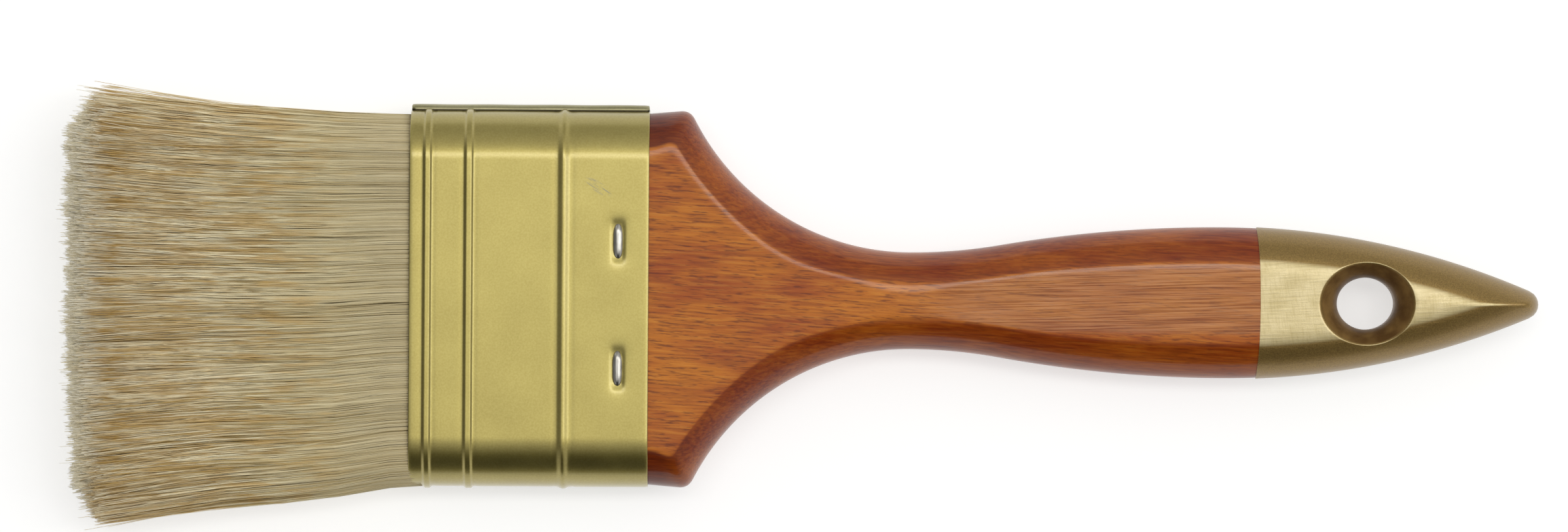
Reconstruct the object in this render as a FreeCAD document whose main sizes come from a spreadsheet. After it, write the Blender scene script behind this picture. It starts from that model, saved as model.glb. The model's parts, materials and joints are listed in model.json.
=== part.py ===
"""A 60 mm flat paint brush: wooden handle, sheet metal ferrule, bristles set in resin.

The brush lies flat. X runs along it, from the bristle tips (-X) to the end of the handle (+X).
Y is the width of the brush and Z its thickness, with the resting plane at Z = 0.
The origin is the middle of the bounding box's bottom. All sizes are millimetres and stand in the sheet.
Each piece is drawn about its own datum, and its Placement puts that datum in the brush.
"""
import FreeCAD
import Part
import Sketcher
import math
import os

SIZES = {
    # Ferrule: a band of sheet metal, seamed on its +Y edge, with three beads rolled outwards.
    "ferrule_width": 59.5,
    "ferrule_thickness": 15.6,
    "ferrule_length": 37.6,
    "sheet_gauge": 0.4,
    "bead_height": 0.35,
    "bead_width": 1.4,
    "bead_front": 3.0,
    "bead_middle": 9.4,
    "bead_rear": 24.2,
    "seam_height": 0.85,
    "seam_width": 3.2,
    # Handle: the tongue is in the ferrule, the rest is measured from the ferrule's rear edge.
    "wood_clearance": 0.05,
    "tongue_clearance": 0.15,
    "tongue_length": 16.0,
    "handle_length": 140.2,
    "shoulder_reach": 6.4,
    "shoulder_flare": 0.55,
    "cove_radius": 38.2,
    "neck_position": 41.1,
    "neck_width": 15.3,
    "neck_thickness": 13.9,
    "neck_sweep": 82.0,
    "belly_position": 90.3,
    "belly_width": 23.86,
    "end_thickness": 13.8,
    "nose_radius": 2.2,
    "edge_crown": 0.15,
    "cutting_allowance": 1.0,
    # Hanging hole: a round bore with a rounded flare at each face.
    "hole_position": 113.0,
    "hole_diameter": 8.9,
    "hole_land": 4.0,
    "flare_radius": 6.2,
    # Lacquer on the end of the handle.
    "dip_length": 44.0,
    "dip_thickness": 0.15,
    # Staples, two through each face of the ferrule.
    "staple_wire": 1.5,
    "staple_crown": 5.6,
    "staple_bend": 1.0,
    "staple_leg": 6.0,
    "staple_proud": 0.3,
    "staple_spacing": 20.0,
    "staple_offset": -0.9,
    "staple_inset": 4.8,
    # Inside the ferrule: resin and two filler strips between the rows of bristles.
    "resin_depth": 11.0,
    "strip_width": 19.0,
    "strip_thickness": 3.0,
    "strip_length": 12.5,
    "strip_spacing": 26.0,
    # Bristles: two rows, which bend about a line just outside the mouth of the ferrule.
    "bristle_length": 54.0,
    "tip_width": 67.6,
    "tip_thickness": 15.6,
    "tip_rounding": 2.5,
    "bend_clearance": 0.3,
    "bend_offset": 2.0,
    "row_gap_root": 1.8,
    "row_gap_tip": 0.1,
}

doc = FreeCAD.newDocument("paint_brush")
sheet = doc.addObject("Spreadsheet::Sheet", "sheet")
for row, (alias, value) in enumerate(SIZES.items(), start=1):
    sheet.set(f"A{row}", alias)
    sheet.set(f"B{row}", str(value))
    sheet.setAlias(f"B{row}", alias)
doc.recompute()

# Places and sizes that follow from the sheet, as expressions. The datum of a place is named with it.
LENGTH = "(sheet.bristle_length + sheet.ferrule_length + sheet.handle_length + sheet.dip_thickness)"
REAR_X = f"({LENGTH} / 2 - sheet.handle_length - sheet.dip_thickness)"  # ferrule's rear edge, in the brush
MOUTH_X = f"({REAR_X} - sheet.ferrule_length)"  # ferrule's mouth, in the brush
MID_Z = "(sheet.ferrule_thickness / 2 + sheet.bead_height)"  # middle plane, in the brush
INNER_WIDTH = "(sheet.ferrule_width - 2 * sheet.sheet_gauge)"
INNER_THICKNESS = "(sheet.ferrule_thickness - 2 * sheet.sheet_gauge)"
STOCK_HALF = f"({INNER_THICKNESS} / 2 - sheet.wood_clearance)"  # half the thickness of the wood
TONGUE_HALF = f"({INNER_WIDTH} / 2 - sheet.wood_clearance)"
EDGE_RADIUS = f"({STOCK_HALF} + sheet.edge_crown)"  # radius of the handle's rounded edges


def number(expression):
    """The value of an expression, as a plain float."""
    return float(sheet.evalExpression(expression))


def place(piece, base_x, base_y="0", base_z=MID_Z):
    """Puts a piece's datum at a point of the brush."""
    piece.setExpression(".Placement.Base.x", base_x)
    piece.setExpression(".Placement.Base.y", base_y)
    piece.setExpression(".Placement.Base.z", base_z)


def new_body(name):
    body = doc.addObject("PartDesign::Body", name)
    body.Label = name
    return body


def new_sketch(body, name, role, shift_x="0", shift_y="0", shift_z="0"):
    """A sketch on one of its body's origin planes, moved in that plane's own axes."""
    sketch = body.newObject("Sketcher::SketchObject", name)
    support = [plane for plane in body.Origin.OriginFeatures if plane.Role == role][0]
    sketch.AttachmentSupport = [(support, "")]
    sketch.MapMode = "FlatFace"
    for axis, shift in (("x", shift_x), ("y", shift_y), ("z", shift_z)):
        if shift != "0":
            sketch.setExpression(f"AttachmentOffset.Base.{axis}", shift)
    return sketch


def drive(sketch, kind, references, name, expression):
    """A dimension of a sketch that an expression drives."""
    constraint = Sketcher.Constraint(kind, *references, number(expression))
    index = sketch.addConstraint(constraint)
    sketch.renameConstraint(index, name)
    sketch.setExpression(f"Constraints.{name}", expression)


def fix_point(sketch, edge, end, name, point):
    """Holds the end of an edge at a point given by two expressions."""
    for kind, axis, expression in (("DistanceX", "x", point[0]), ("DistanceY", "y", point[1])):
        drive(sketch, kind, (-1, 1, edge, end), f"{name}_{axis}", expression)


def hold_centre(sketch, edge, start, stop, centre):
    """Holds an arc's centre along the axis that lies most nearly square to its chord."""
    run, rise = (abs(number(stop[axis]) - number(start[axis])) for axis in (0, 1))
    kind, axis = ("DistanceX", 0) if rise > run else ("DistanceY", 1)
    drive(sketch, kind, (-1, 1, edge, 3), f"c{edge}", centre[axis])


def draw(sketch, points, bends=None, closed=True):
    """Draws a chain of lines and arcs through points, each a pair of expressions.

    bends maps the number of an edge to (centre, side, radius): the edge is an arc about that centre,
    and side is +1 where it runs anticlockwise.
    """
    bends = bends or {}
    count = len(points) if closed else len(points) - 1
    first = sketch.GeometryCount
    ends = []
    for index in range(count):
        start, stop = points[index], points[(index + 1) % len(points)]
        start_point = FreeCAD.Vector(number(start[0]), number(start[1]), 0)
        stop_point = FreeCAD.Vector(number(stop[0]), number(stop[1]), 0)
        if index in bends:
            centre, side, radius = bends[index]
            centre_point = FreeCAD.Vector(number(centre[0]), number(centre[1]), 0)
            circle = Part.Circle(centre_point, FreeCAD.Vector(0, 0, 1), number(radius))
            low, high = (start_point, stop_point) if side > 0 else (stop_point, start_point)
            sketch.addGeometry(Part.ArcOfCircle(circle, circle.parameter(low), turned_on(circle, low, high)))
            ends.append((1, 2) if side > 0 else (2, 1))
        else:
            sketch.addGeometry(Part.LineSegment(start_point, stop_point))
            ends.append((1, 2))
    for index in range(count):
        following = (index + 1) % count
        if closed or following:
            sketch.addConstraint(Sketcher.Constraint(
                "Coincident", first + index, ends[index][1], first + following, ends[following][0]))
    for index in range(count):
        fix_point(sketch, first + index, ends[index][0], f"p{first + index}", points[index])
        if index in bends:
            hold_centre(sketch, first + index, points[index], points[(index + 1) % len(points)], bends[index][0])
    if not closed:
        fix_point(sketch, first + count - 1, ends[-1][1], f"p{first + count}", points[-1])
    return sketch


def turned_on(circle, low, high):
    """The parameter of high on a circle, past the parameter of low."""
    start, stop = circle.parameter(low), circle.parameter(high)
    return stop if stop > start else stop + 2 * math.pi


def feature(body, kind, name, profile, **settings):
    """Adds a PartDesign feature made from a sketch, and makes it the body's tip."""
    made = body.newObject(f"PartDesign::{kind}", name)
    made.Profile = profile
    for key, value in settings.items():
        setattr(made, key, value)
    profile.Visibility = False
    body.Tip = made
    return made


def checked(body, feature_made, adds):
    """Recomputes, and makes sure that the feature has added or removed material."""
    doc.recompute()
    before = feature_made.BaseFeature.Shape.Volume
    after = feature_made.Shape.Volume
    if (after - before) * (1 if adds else -1) <= 0:
        raise RuntimeError(f"{body.Name}.{feature_made.Name} changed nothing: {before} to {after}")


def oval(half_width, half_thickness):
    """Points and bends of a flat band's section: straight faces and half-round edges."""
    flat = f"({half_width} - {half_thickness})"
    points = [(f"-{flat}", f"-{half_thickness}"), (flat, f"-{half_thickness}"),
              (flat, half_thickness), (f"-{flat}", half_thickness)]
    bends = {1: ((flat, "0"), 1, half_thickness), 3: ((f"-{flat}", "0"), 1, half_thickness)}
    return points, bends


# ---------------------------------------------------------------- handle

def handle_outline(grow):
    """The plan of the handle's +Y side from the cove to the nose, grown outwards by an expression.

    The cove, the neck's sweep, both sides of the belly and the nose are arcs that meet in line.
    Returns the points (neck, sweep to belly, belly, belly to nose, nose) and what each arc needs.
    """
    neck_half = "(sheet.neck_width / 2)"
    belly_half = "(sheet.belly_width / 2)"
    run = "(sheet.belly_position - sheet.neck_position)"
    rise = f"({belly_half} - {neck_half})"
    radii_sum = f"(({run}^2 + {rise}^2) / (2 * {rise}))"
    front_radius = f"({radii_sum} - sheet.neck_sweep)"
    nose_x = "(sheet.handle_length - sheet.nose_radius)"
    reach = f"({nose_x} - sheet.belly_position)"
    rear_radius = (f"(({reach}^2 + {belly_half}^2 - sheet.nose_radius^2)"
                   f" / (2 * ({belly_half} - sheet.nose_radius)))")
    sweep_centre = ("sheet.neck_position", f"({neck_half} + sheet.neck_sweep)")
    front_centre = ("sheet.belly_position", f"({belly_half} - {front_radius})")
    rear_centre = ("sheet.belly_position", f"({belly_half} - {rear_radius})")
    join_share = f"((sheet.neck_sweep - {grow}) / {radii_sum})"
    nose_share = f"(({rear_radius} + {grow}) / ({rear_radius} - sheet.nose_radius))"
    points = {
        "neck": ("sheet.neck_position", f"({neck_half} + {grow})"),
        "join": (f"({sweep_centre[0]} + {run} * {join_share})",
                 f"({sweep_centre[1]} + ({front_centre[1]} - {sweep_centre[1]}) * {join_share})"),
        "belly": ("sheet.belly_position", f"({belly_half} + {grow})"),
        "flank": (f"({rear_centre[0]} + {reach} * {nose_share})",
                  f"({rear_centre[1]} - {rear_centre[1]} * {nose_share})"),
        "nose": (f"(sheet.handle_length + {grow})", "0"),
    }
    arcs = {
        "cove": (("sheet.neck_position", f"({neck_half} + sheet.cove_radius)"), 1,
                 f"(sheet.cove_radius - {grow})"),
        "sweep": (sweep_centre, 1, f"(sheet.neck_sweep - {grow})"),
        "front": (front_centre, -1, f"({front_radius} + {grow})"),
        "rear": (rear_centre, -1, f"({rear_radius} + {grow})"),
        "nose": ((nose_x, "0"), -1, f"(sheet.nose_radius + {grow})"),
    }
    flank_angle = f"atan(-{rear_centre[1]} / {reach})"
    return points, arcs, nose_x, flank_angle


def shape_handle(name, grow):
    """The whole handle in wood, its surface grown outwards by an expression.

    A blank is sawn to the plan, a cutter with a hollow rim rounds its edges all along the cove and the
    belly and along the shoulder, and the faces are planed to the side view. The nose and the hanging hole
    are turned. Datum: the ferrule's rear edge, on the centre line.
    """
    body = new_body(name)
    body_half = f"({STOCK_HALF} + {grow})"
    edge_radius = f"({EDGE_RADIUS} + {grow})"
    spare = f"({grow} + sheet.cutting_allowance)"
    tongue_half = f"({TONGUE_HALF} + {grow})"
    points, arcs, nose_x, flank_angle = handle_outline(spare)

    # Half blank, +Y side. The cove's arc starts at the height of the shoulder's corner.
    corner_half = f"({TONGUE_HALF} + sheet.shoulder_flare + {spare})"
    cove_centre, _, cove_radius = arcs["cove"]
    corner_x = f"({cove_centre[0]} - sqrt({cove_radius}^2 - ({cove_centre[1]} - {corner_half})^2))"
    tongue_x = "(-sheet.tongue_length)"
    plan = new_sketch(body, f"{name}_plan", "XY_Plane")
    draw(plan,
         [(tongue_x, "0"), (nose_x, "0"), points["nose"], points["flank"], points["belly"], points["join"],
          points["neck"], (corner_x, corner_half), (tongue_x, corner_half)],
         {2: (arcs["nose"][0], 1, arcs["nose"][2]), 3: (arcs["rear"][0], 1, arcs["rear"][2]),
          4: (arcs["front"][0], 1, arcs["front"][2]), 5: (arcs["sweep"][0], -1, arcs["sweep"][2]),
          6: (arcs["cove"][0], -1, arcs["cove"][2])})
    blank = feature(body, "Pad", f"{name}_blank", plan, Midplane=True)
    blank.setExpression("Length", f"2 * ({body_half} + sheet.cutting_allowance)")
    doc.recompute()

    # The cutter's path, from beside the shoulder to the nose, and its hollow profile at the path's start.
    points, arcs, nose_x, flank_angle = handle_outline(grow)
    cove_centre, _, cove_radius = arcs["cove"]
    start = (f"({cove_centre[0]} - {cove_radius})", cove_centre[1])
    path = new_sketch(body, f"{name}_path", "XY_Plane")
    draw(path, [start, points["neck"], points["join"], points["belly"], points["flank"]],
         {0: arcs["cove"], 1: arcs["sweep"], 2: arcs["front"], 3: arcs["rear"]}, closed=False)
    cutter = new_sketch(body, f"{name}_cutter", "XZ_Plane", shift_z=f"-{start[1]}")
    draw_cutter(cutter, start[0], edge_radius)
    rounding = feature(body, "SubtractivePipe", f"{name}_rounding", cutter)
    rounding.Spine = (path, [f"Edge{number_of + 1}" for number_of in range(4)])
    checked(body, rounding, adds=False)

    # The tongue is a step smaller all round, so that it slides into the ferrule.
    inside = new_sketch(body, f"{name}_inside", "YZ_Plane")
    tongue_radius = f"({INNER_THICKNESS} / 2 - sheet.tongue_clearance + {grow})"
    draw_cutter(inside, f"({INNER_WIDTH} / 2 - sheet.tongue_clearance + {grow})", tongue_radius, whole=True)
    tongue = feature(body, "Pocket", f"{name}_tongue", inside)
    tongue.setExpression("Length", "sheet.tongue_length + sheet.cutting_allowance")
    checked(body, tongue, adds=False)

    # The shoulder's edge flares out to its corner.
    side = new_sketch(body, f"{name}_side", "YZ_Plane")
    draw_cutter(side, tongue_half, edge_radius)
    shoulder = feature(body, "Pocket", f"{name}_shoulder", side, UseCustomVector=True, AlongSketchNormal=False)
    slope = number("sheet.shoulder_flare / sheet.shoulder_reach")
    shoulder.Direction = FreeCAD.Vector(1, slope, 0)
    shoulder.setExpression("Length", "3 * sheet.shoulder_reach")
    checked(body, shoulder, adds=False)
    mirrored = body.newObject("PartDesign::Mirrored", f"{name}_both_sides")
    mirrored.Originals = [blank, rounding, tongue, shoulder]
    mirrored.MirrorPlane = ([plane for plane in body.Origin.OriginFeatures if plane.Role == "XZ_Plane"][0], [""])
    body.Tip = mirrored
    checked(body, mirrored, adds=True)

    plane_faces(body, name, grow, body_half)
    turn_nose(body, name, grow, edge_radius, nose_x, flank_angle)
    bore_hole(body, name, grow, body_half)
    place(body, REAR_X)
    return body


def draw_cutter(sketch, edge, radius, whole=False):
    """What the cutter removes: all outside a half-round that bulges to the wood's edge.

    edge is where the wood's widest line lies on the sketch's X axis. The wood is on that axis's low side.
    With whole, it also removes all above and below the half-round's width, back to the middle of the wood.
    """
    centre = f"({edge} - {radius})"
    outside = f"({edge} + 3 * sheet.cutting_allowance)"
    top = f"({radius} + 2 * sheet.cutting_allowance)"
    if whole:
        draw(sketch,
             [("0", f"-{top}"), (outside, f"-{top}"), (outside, top), ("0", top), ("0", radius),
              (centre, radius), (centre, f"-{radius}"), ("0", f"-{radius}")],
             {5: ((centre, "0"), -1, radius)})
        return
    draw(sketch,
         [(centre, f"-{top}"), (outside, f"-{top}"), (outside, top), (centre, top),
          (centre, radius), (centre, f"-{radius}")],
         {4: ((centre, "0"), -1, radius)})


def plane_faces(body, name, grow, body_half):
    """Planes both faces: level at the ferrule, thinner at the neck, full at the belly, thinner at the end."""
    neck_half = f"(sheet.neck_thickness / 2 + {grow})"
    end_half = f"(sheet.end_thickness / 2 + {grow})"
    level_x = "sheet.shoulder_reach"
    half_down = f"((sheet.neck_position + {level_x}) / 2)"
    half_up = "((sheet.neck_position + sheet.belly_position) / 2)"
    half_rise = f"(({body_half} + {neck_half}) / 2)"
    drop = f"({body_half} - {neck_half})"
    end_drop = f"({body_half} - {end_half})"
    down_radius = f"(((sheet.neck_position - {level_x})^2 + {drop}^2) / (4 * {drop}))"
    up_radius = f"(((sheet.belly_position - sheet.neck_position)^2 + {drop}^2) / (4 * {drop}))"
    end_x = "(sheet.handle_length + 2 * sheet.cutting_allowance)"
    end_radius = f"((({end_x} - sheet.belly_position)^2 + {end_drop}^2) / (2 * {end_drop}))"
    start_x = "(-sheet.tongue_length - sheet.cutting_allowance)"
    above = f"({body_half} + 2 * sheet.cutting_allowance)"
    for side, label in ((1, "top"), (-1, "bottom")):
        def at(x, height, sign=side):
            return (x, height if sign > 0 else f"-{height}")
        sketch = new_sketch(body, f"{name}_{label}", "XZ_Plane")
        draw(sketch,
             [at(start_x, body_half), at(level_x, body_half), at(half_down, half_rise),
              at("sheet.neck_position", neck_half), at(half_up, half_rise),
              at("sheet.belly_position", body_half), at(end_x, end_half), at(end_x, above), at(start_x, above)],
             {1: (at(level_x, f"({body_half} - {down_radius})"), -side, down_radius),
              2: (at("sheet.neck_position", f"({neck_half} + {down_radius})"), side, down_radius),
              3: (at("sheet.neck_position", f"({neck_half} + {up_radius})"), side, up_radius),
              4: (at("sheet.belly_position", f"({body_half} - {up_radius})"), -side, up_radius),
              5: (at("sheet.belly_position", f"({body_half} - {end_radius})"), -side, end_radius)})
        planed = feature(body, "Pocket", f"{name}_{label}_face", sketch, Type=1, Midplane=True)
        checked(body, planed, adds=False)


def turn_nose(body, name, grow, edge_radius, nose_x, flank_angle):
    """Turns the nose about an upright axis, between the directions square to the two flanks."""
    radius = f"(sheet.nose_radius + {grow})"
    centre = f"({radius} - {edge_radius})"
    inner = f"sqrt({edge_radius}^2 - {centre}^2)"
    outside = f"({radius} + 3 * sheet.cutting_allowance)"
    top = f"({edge_radius} + 2 * sheet.cutting_allowance)"
    sketch = new_sketch(body, f"{name}_nose", "XZ_Plane", shift_x=nose_x)
    draw(sketch,
         [("0", f"-{top}"), (outside, f"-{top}"), (outside, top), ("0", top), ("0", inner), ("0", f"-{inner}")],
         {4: ((centre, "0"), -1, edge_radius)})
    nose = feature(body, "Groove", f"{name}_nose_turning", sketch, Midplane=True)
    nose.ReferenceAxis = (sketch, ["V_Axis"])
    nose.setExpression("Angle", f"2 * {flank_angle}")
    checked(body, nose, adds=False)


def bore_hole(body, name, grow, body_half):
    """Bores the hanging hole, whose flare is an arc in line with the bore."""
    radius = f"(sheet.hole_diameter / 2 - {grow})"
    land = "(sheet.hole_land / 2)"
    top = f"({land} + sheet.flare_radius)"
    flare = f"({radius} + sheet.flare_radius)"
    sketch = new_sketch(body, f"{name}_hole", "XZ_Plane", shift_x="sheet.hole_position")
    draw(sketch,
         [("0", f"-{top}"), (flare, f"-{top}"), (radius, f"-{land}"), (radius, land), (flare, top), ("0", top)],
         {1: ((flare, f"-{land}"), -1, "sheet.flare_radius"), 3: ((flare, land), -1, "sheet.flare_radius")})
    hole = feature(body, "Groove", f"{name}_hole_boring", sketch, Angle=360.0)
    hole.ReferenceAxis = (sketch, ["V_Axis"])
    checked(body, hole, adds=False)


# ---------------------------------------------------------------- ferrule

def bead_arcs(surface, side):
    """Points and bends of one surface of the ferrule's wall, with its three beads, from mouth to rear.

    surface is that surface's height. Outer and inner arcs of a bead share a centre.
    """
    crest = "((sheet.bead_width^2 / 4 + sheet.bead_height^2) / (2 * sheet.bead_height))"
    centre_z = f"(sheet.ferrule_thickness / 2 + sheet.bead_height - {crest})"
    radius = crest if side > 0 else f"({crest} - sheet.sheet_gauge)"
    reach = f"sqrt({radius}^2 - ({surface} - {centre_z})^2)"
    points, bends = [("0", surface)], {}
    for bead in ("front", "middle", "rear"):
        points.append((f"(sheet.bead_{bead} - {reach})", surface))
        bends[len(points) - 1] = ((f"sheet.bead_{bead}", centre_z), -1, radius)
        points.append((f"(sheet.bead_{bead} + {reach})", surface))
    points.append(("sheet.ferrule_length", surface))
    return points, bends


def make_ferrule():
    """The band: its wall's section carried round the oval, and the folded seam. Datum: the mouth."""
    body = new_body("ferrule_band")
    outer = "(sheet.ferrule_thickness / 2)"
    inner = f"({INNER_THICKNESS} / 2)"
    outer_points, outer_bends = bead_arcs(outer, 1)
    inner_points, inner_bends = bead_arcs(inner, -1)
    count = len(outer_points)
    bends = dict(outer_bends)
    for index, (centre, side, radius) in inner_bends.items():
        bends[2 * count - 2 - index] = (centre, -side, radius)
    wall = new_sketch(body, "ferrule_wall", "XZ_Plane")
    draw(wall, outer_points + inner_points[::-1], bends)
    path = new_sketch(body, "ferrule_path", "YZ_Plane")
    draw(path, *oval("(sheet.ferrule_width / 2)", outer))
    band = feature(body, "AdditivePipe", "ferrule_rolled", wall)
    band.Spine = (path, ["Edge3", "Edge4", "Edge1", "Edge2"])
    doc.recompute()
    seam = new_sketch(body, "ferrule_seam_section", "YZ_Plane")
    root = f"(sheet.ferrule_width / 2 - sheet.sheet_gauge / 2)"
    crown = "(sheet.ferrule_width / 2 + sheet.seam_height)"
    half = "(sheet.seam_width / 2)"
    draw(seam, [(root, f"-{half}"), (crown, f"-{half}"), (crown, half), (root, half)])
    lock = feature(body, "Pad", "ferrule_seam", seam)
    lock.setExpression("Length", "sheet.ferrule_length")
    checked(body, lock, adds=True)
    place(body, MOUTH_X)
    return body


# ---------------------------------------------------------------- staples

def make_staple(name, face, across):
    """A wire staple driven through one face of the ferrule into the tongue.

    face is +1 for the upper face. Datum: the middle of the crown's top, with the legs down -Z.
    """
    body = new_body(name)
    wire = "(sheet.staple_wire / 2)"
    leg = f"(sheet.staple_crown / 2 - {wire})"
    flat = f"({leg} - sheet.staple_bend)"
    crown_z = f"(-{wire})"
    bend_z = f"(-{wire} - sheet.staple_bend)"
    foot_z = f"(-{wire} - sheet.staple_leg)"
    path = new_sketch(body, f"{name}_path", "YZ_Plane")
    draw(path,
         [(f"-{leg}", foot_z), (f"-{leg}", bend_z), (f"-{flat}", crown_z), (flat, crown_z), (leg, bend_z),
          (leg, foot_z)],
         {1: ((f"-{flat}", bend_z), -1, "sheet.staple_bend"), 3: ((flat, bend_z), -1, "sheet.staple_bend")},
         closed=False)
    section = new_sketch(body, f"{name}_section", "XY_Plane", shift_y=f"-{leg}", shift_z=foot_z)
    section.addGeometry(Part.Circle(FreeCAD.Vector(0, 0, 0), FreeCAD.Vector(0, 0, 1), number(wire)))
    section.addConstraint(Sketcher.Constraint("Coincident", 0, 3, -1, 1))
    drive(section, "Radius", (0,), "wire", wire)
    bent = feature(body, "AdditivePipe", f"{name}_wire", section)
    bent.Spine = (path, [f"Edge{index + 1}" for index in range(5)])
    doc.recompute()
    height = "(sheet.ferrule_thickness / 2 + sheet.staple_proud)"
    if face < 0:
        body.Placement.Rotation = FreeCAD.Rotation(FreeCAD.Vector(1, 0, 0), 180)
    place(body, f"{REAR_X} - sheet.staple_inset",
          f"sheet.staple_offset + {across} * sheet.staple_spacing / 2",
          f"{MID_Z} + {face} * {height}")
    return body


# ---------------------------------------------------------------- filling

def make_strip(name, across):
    """A wooden filler strip between the two rows of bristles. Datum: the end of the tongue."""
    strip = doc.addObject("Part::Box", name)
    strip.setExpression("Length", "sheet.strip_length")
    strip.setExpression("Width", "sheet.strip_width")
    strip.setExpression("Height", "sheet.strip_thickness")
    place(strip, f"{REAR_X} - sheet.tongue_length - sheet.strip_length",
          f"{across} * sheet.strip_spacing / 2 - sheet.strip_width / 2",
          f"{MID_Z} - sheet.strip_thickness / 2")
    return strip


def make_resin():
    """The block of resin that holds the bristles' butts, behind the tongue. Datum: the end of the tongue."""
    body = new_body("resin_block")
    section = new_sketch(body, "resin_section", "YZ_Plane")
    draw(section, *oval(f"({INNER_WIDTH} / 2)", f"({INNER_THICKNESS} / 2)"))
    block = feature(body, "Pad", "resin_pad", section, Reversed=True)
    block.setExpression("Length", "sheet.resin_depth")
    doc.recompute()
    place(body, f"{REAR_X} - sheet.tongue_length")
    return body


# ---------------------------------------------------------------- bristles

def make_row(name, side):
    """One row of bristles, from its round heel inside the mouth to the flared tips.

    The heel is round about the bending line, so the row turns in the mouth without touching it.
    side is +1 for the upper row. Datum: the bending line.
    """
    body = new_body(name)
    heel_half = f"({INNER_THICKNESS} / 2 - sheet.bend_clearance)"
    heel_width = f"({INNER_WIDTH} / 2 - sheet.bend_clearance)"
    reach = "(sheet.bristle_length - sheet.bend_offset)"
    root = new_sketch(body, f"{name}_root", "YZ_Plane")
    draw(root, *oval(heel_width, heel_half))
    tip = new_sketch(body, f"{name}_tip", "YZ_Plane", shift_z=f"-{reach}")
    draw(tip, *oval("(sheet.tip_width / 2)", "(sheet.tip_thickness / 2)"))
    flared = feature(body, "AdditiveLoft", f"{name}_flare", root, Sections=[tip], Ruled=True)
    tip.Visibility = False
    doc.recompute()
    far = -number(reach)
    rim = [f"Edge{index + 1}" for index, edge in enumerate(flared.Shape.Edges)
           if all(abs(vertex.X - far) < 1e-6 for vertex in edge.Vertexes)]
    rounded = body.newObject("PartDesign::Fillet", f"{name}_rounded_tips")
    rounded.Base = (flared, rim)
    rounded.setExpression("Radius", "sheet.tip_rounding")
    body.Tip = rounded
    checked(body, rounded, adds=False)
    heel = new_sketch(body, f"{name}_heel", "XY_Plane")
    flat = f"({heel_width} - {heel_half})"
    draw(heel, [("0", f"-{heel_width}"), (heel_half, f"-{flat}"), (heel_half, flat), ("0", heel_width)],
         {0: (("0", f"-{flat}"), 1, heel_half), 2: (("0", flat), 1, heel_half)})
    turned = feature(body, "Revolution", f"{name}_turned_heel", heel, Angle=360.0)
    turned.ReferenceAxis = (heel, ["V_Axis"])
    checked(body, turned, adds=True)
    other = new_sketch(body, f"{name}_other_row", "XZ_Plane")
    spare = "(sheet.tip_thickness + sheet.ferrule_thickness)"
    inner_x, outer_x = heel_half, f"(-{reach})"
    edge_root, edge_tip = "(sheet.row_gap_root / 2)", "(sheet.row_gap_tip / 2)"
    sign = "" if side > 0 else "-"
    away = "-" if side > 0 else ""
    draw(other, [(f"({inner_x} + 1)", f"{sign}{edge_root}"), (f"({outer_x} - 1)", f"{sign}{edge_tip}"),
                 (f"({outer_x} - 1)", f"{away}{spare}"), (f"({inner_x} + 1)", f"{away}{spare}")])
    parted = feature(body, "Pocket", f"{name}_parting", other, Type=1, Midplane=True)
    checked(body, parted, adds=False)
    place(body, f"{MOUTH_X} - sheet.bend_offset")
    return body


# ---------------------------------------------------------------- assembly

def boolean(kind, name, base, tool):
    """A Part::Cut or Part::Common of two pieces."""
    made = doc.addObject(f"Part::{kind}", name)
    made.Base = base
    made.Tool = tool
    return made


def gather(name, pieces):
    """Several pieces as one tool for a cut."""
    made = doc.addObject("Part::Compound", name)
    made.Links = pieces
    return made


def make_coat(wood):
    """The lacquer on the end of the handle: a skin over the wood, its faces and the hanging hole."""
    grown = shape_handle("coated", "sheet.dip_thickness")
    dipped = doc.addObject("Part::Box", "dipped_end")
    dipped.setExpression("Length", "sheet.dip_length + sheet.belly_width")
    dipped.setExpression("Width", "4 * sheet.belly_width")
    dipped.setExpression("Height", "4 * sheet.ferrule_thickness")
    place(dipped, f"{REAR_X} + sheet.handle_length - sheet.dip_length", "-2 * sheet.belly_width",
          "-sheet.ferrule_thickness")
    end = boolean("Common", "coated_end", grown, dipped)
    return boolean("Cut", "dip_coat", end, wood)


staples = {
    "staple_top_left": make_staple("staple_top_left", 1, 1),
    "staple_top_right": make_staple("staple_top_right", 1, -1),
    "staple_bottom_left": make_staple("staple_bottom_left", -1, 1),
    "staple_bottom_right": make_staple("staple_bottom_right", -1, -1),
}
all_staples = gather("all_staples", list(staples.values()))
wood = shape_handle("wood", "0")
handle = boolean("Cut", "handle", wood, all_staples)
ferrule = boolean("Cut", "ferrule", make_ferrule(), all_staples)
strips = {
    "filler_strip_left": make_strip("filler_strip_left", 1),
    "filler_strip_right": make_strip("filler_strip_right", -1),
}
resin = boolean("Cut", "resin_set", make_resin(), gather("all_strips", list(strips.values())))
PIECES = {
    "handle": handle,
    "dip_coat": make_coat(wood),
    "ferrule": ferrule,
    "resin_set": resin,
    **strips,
    "bristles_top": make_row("bristles_top", 1),
    "bristles_bottom": make_row("bristles_bottom", -1),
    **staples,
}
doc.recompute()

failed = [thing.Name for thing in doc.Objects if {"Invalid", "Error"} & set(thing.State)]
if failed:
    raise RuntimeError(f"these objects failed: {failed}")
os.makedirs("parts", exist_ok=True)
for name, piece in PIECES.items():
    piece.Label = name
    shape = piece.Shape
    if shape.isNull() or not shape.isValid() or shape.Volume <= 0:
        raise RuntimeError(f"{name} is not a valid solid")
    shape.exportStep(os.path.join("parts", f"{name}.step"))
    print(f"{name}: {len(shape.Solids)} solid, {shape.Volume:.1f} mm3")
print(f"overall length {number(LENGTH):.1f} mm")
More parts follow.
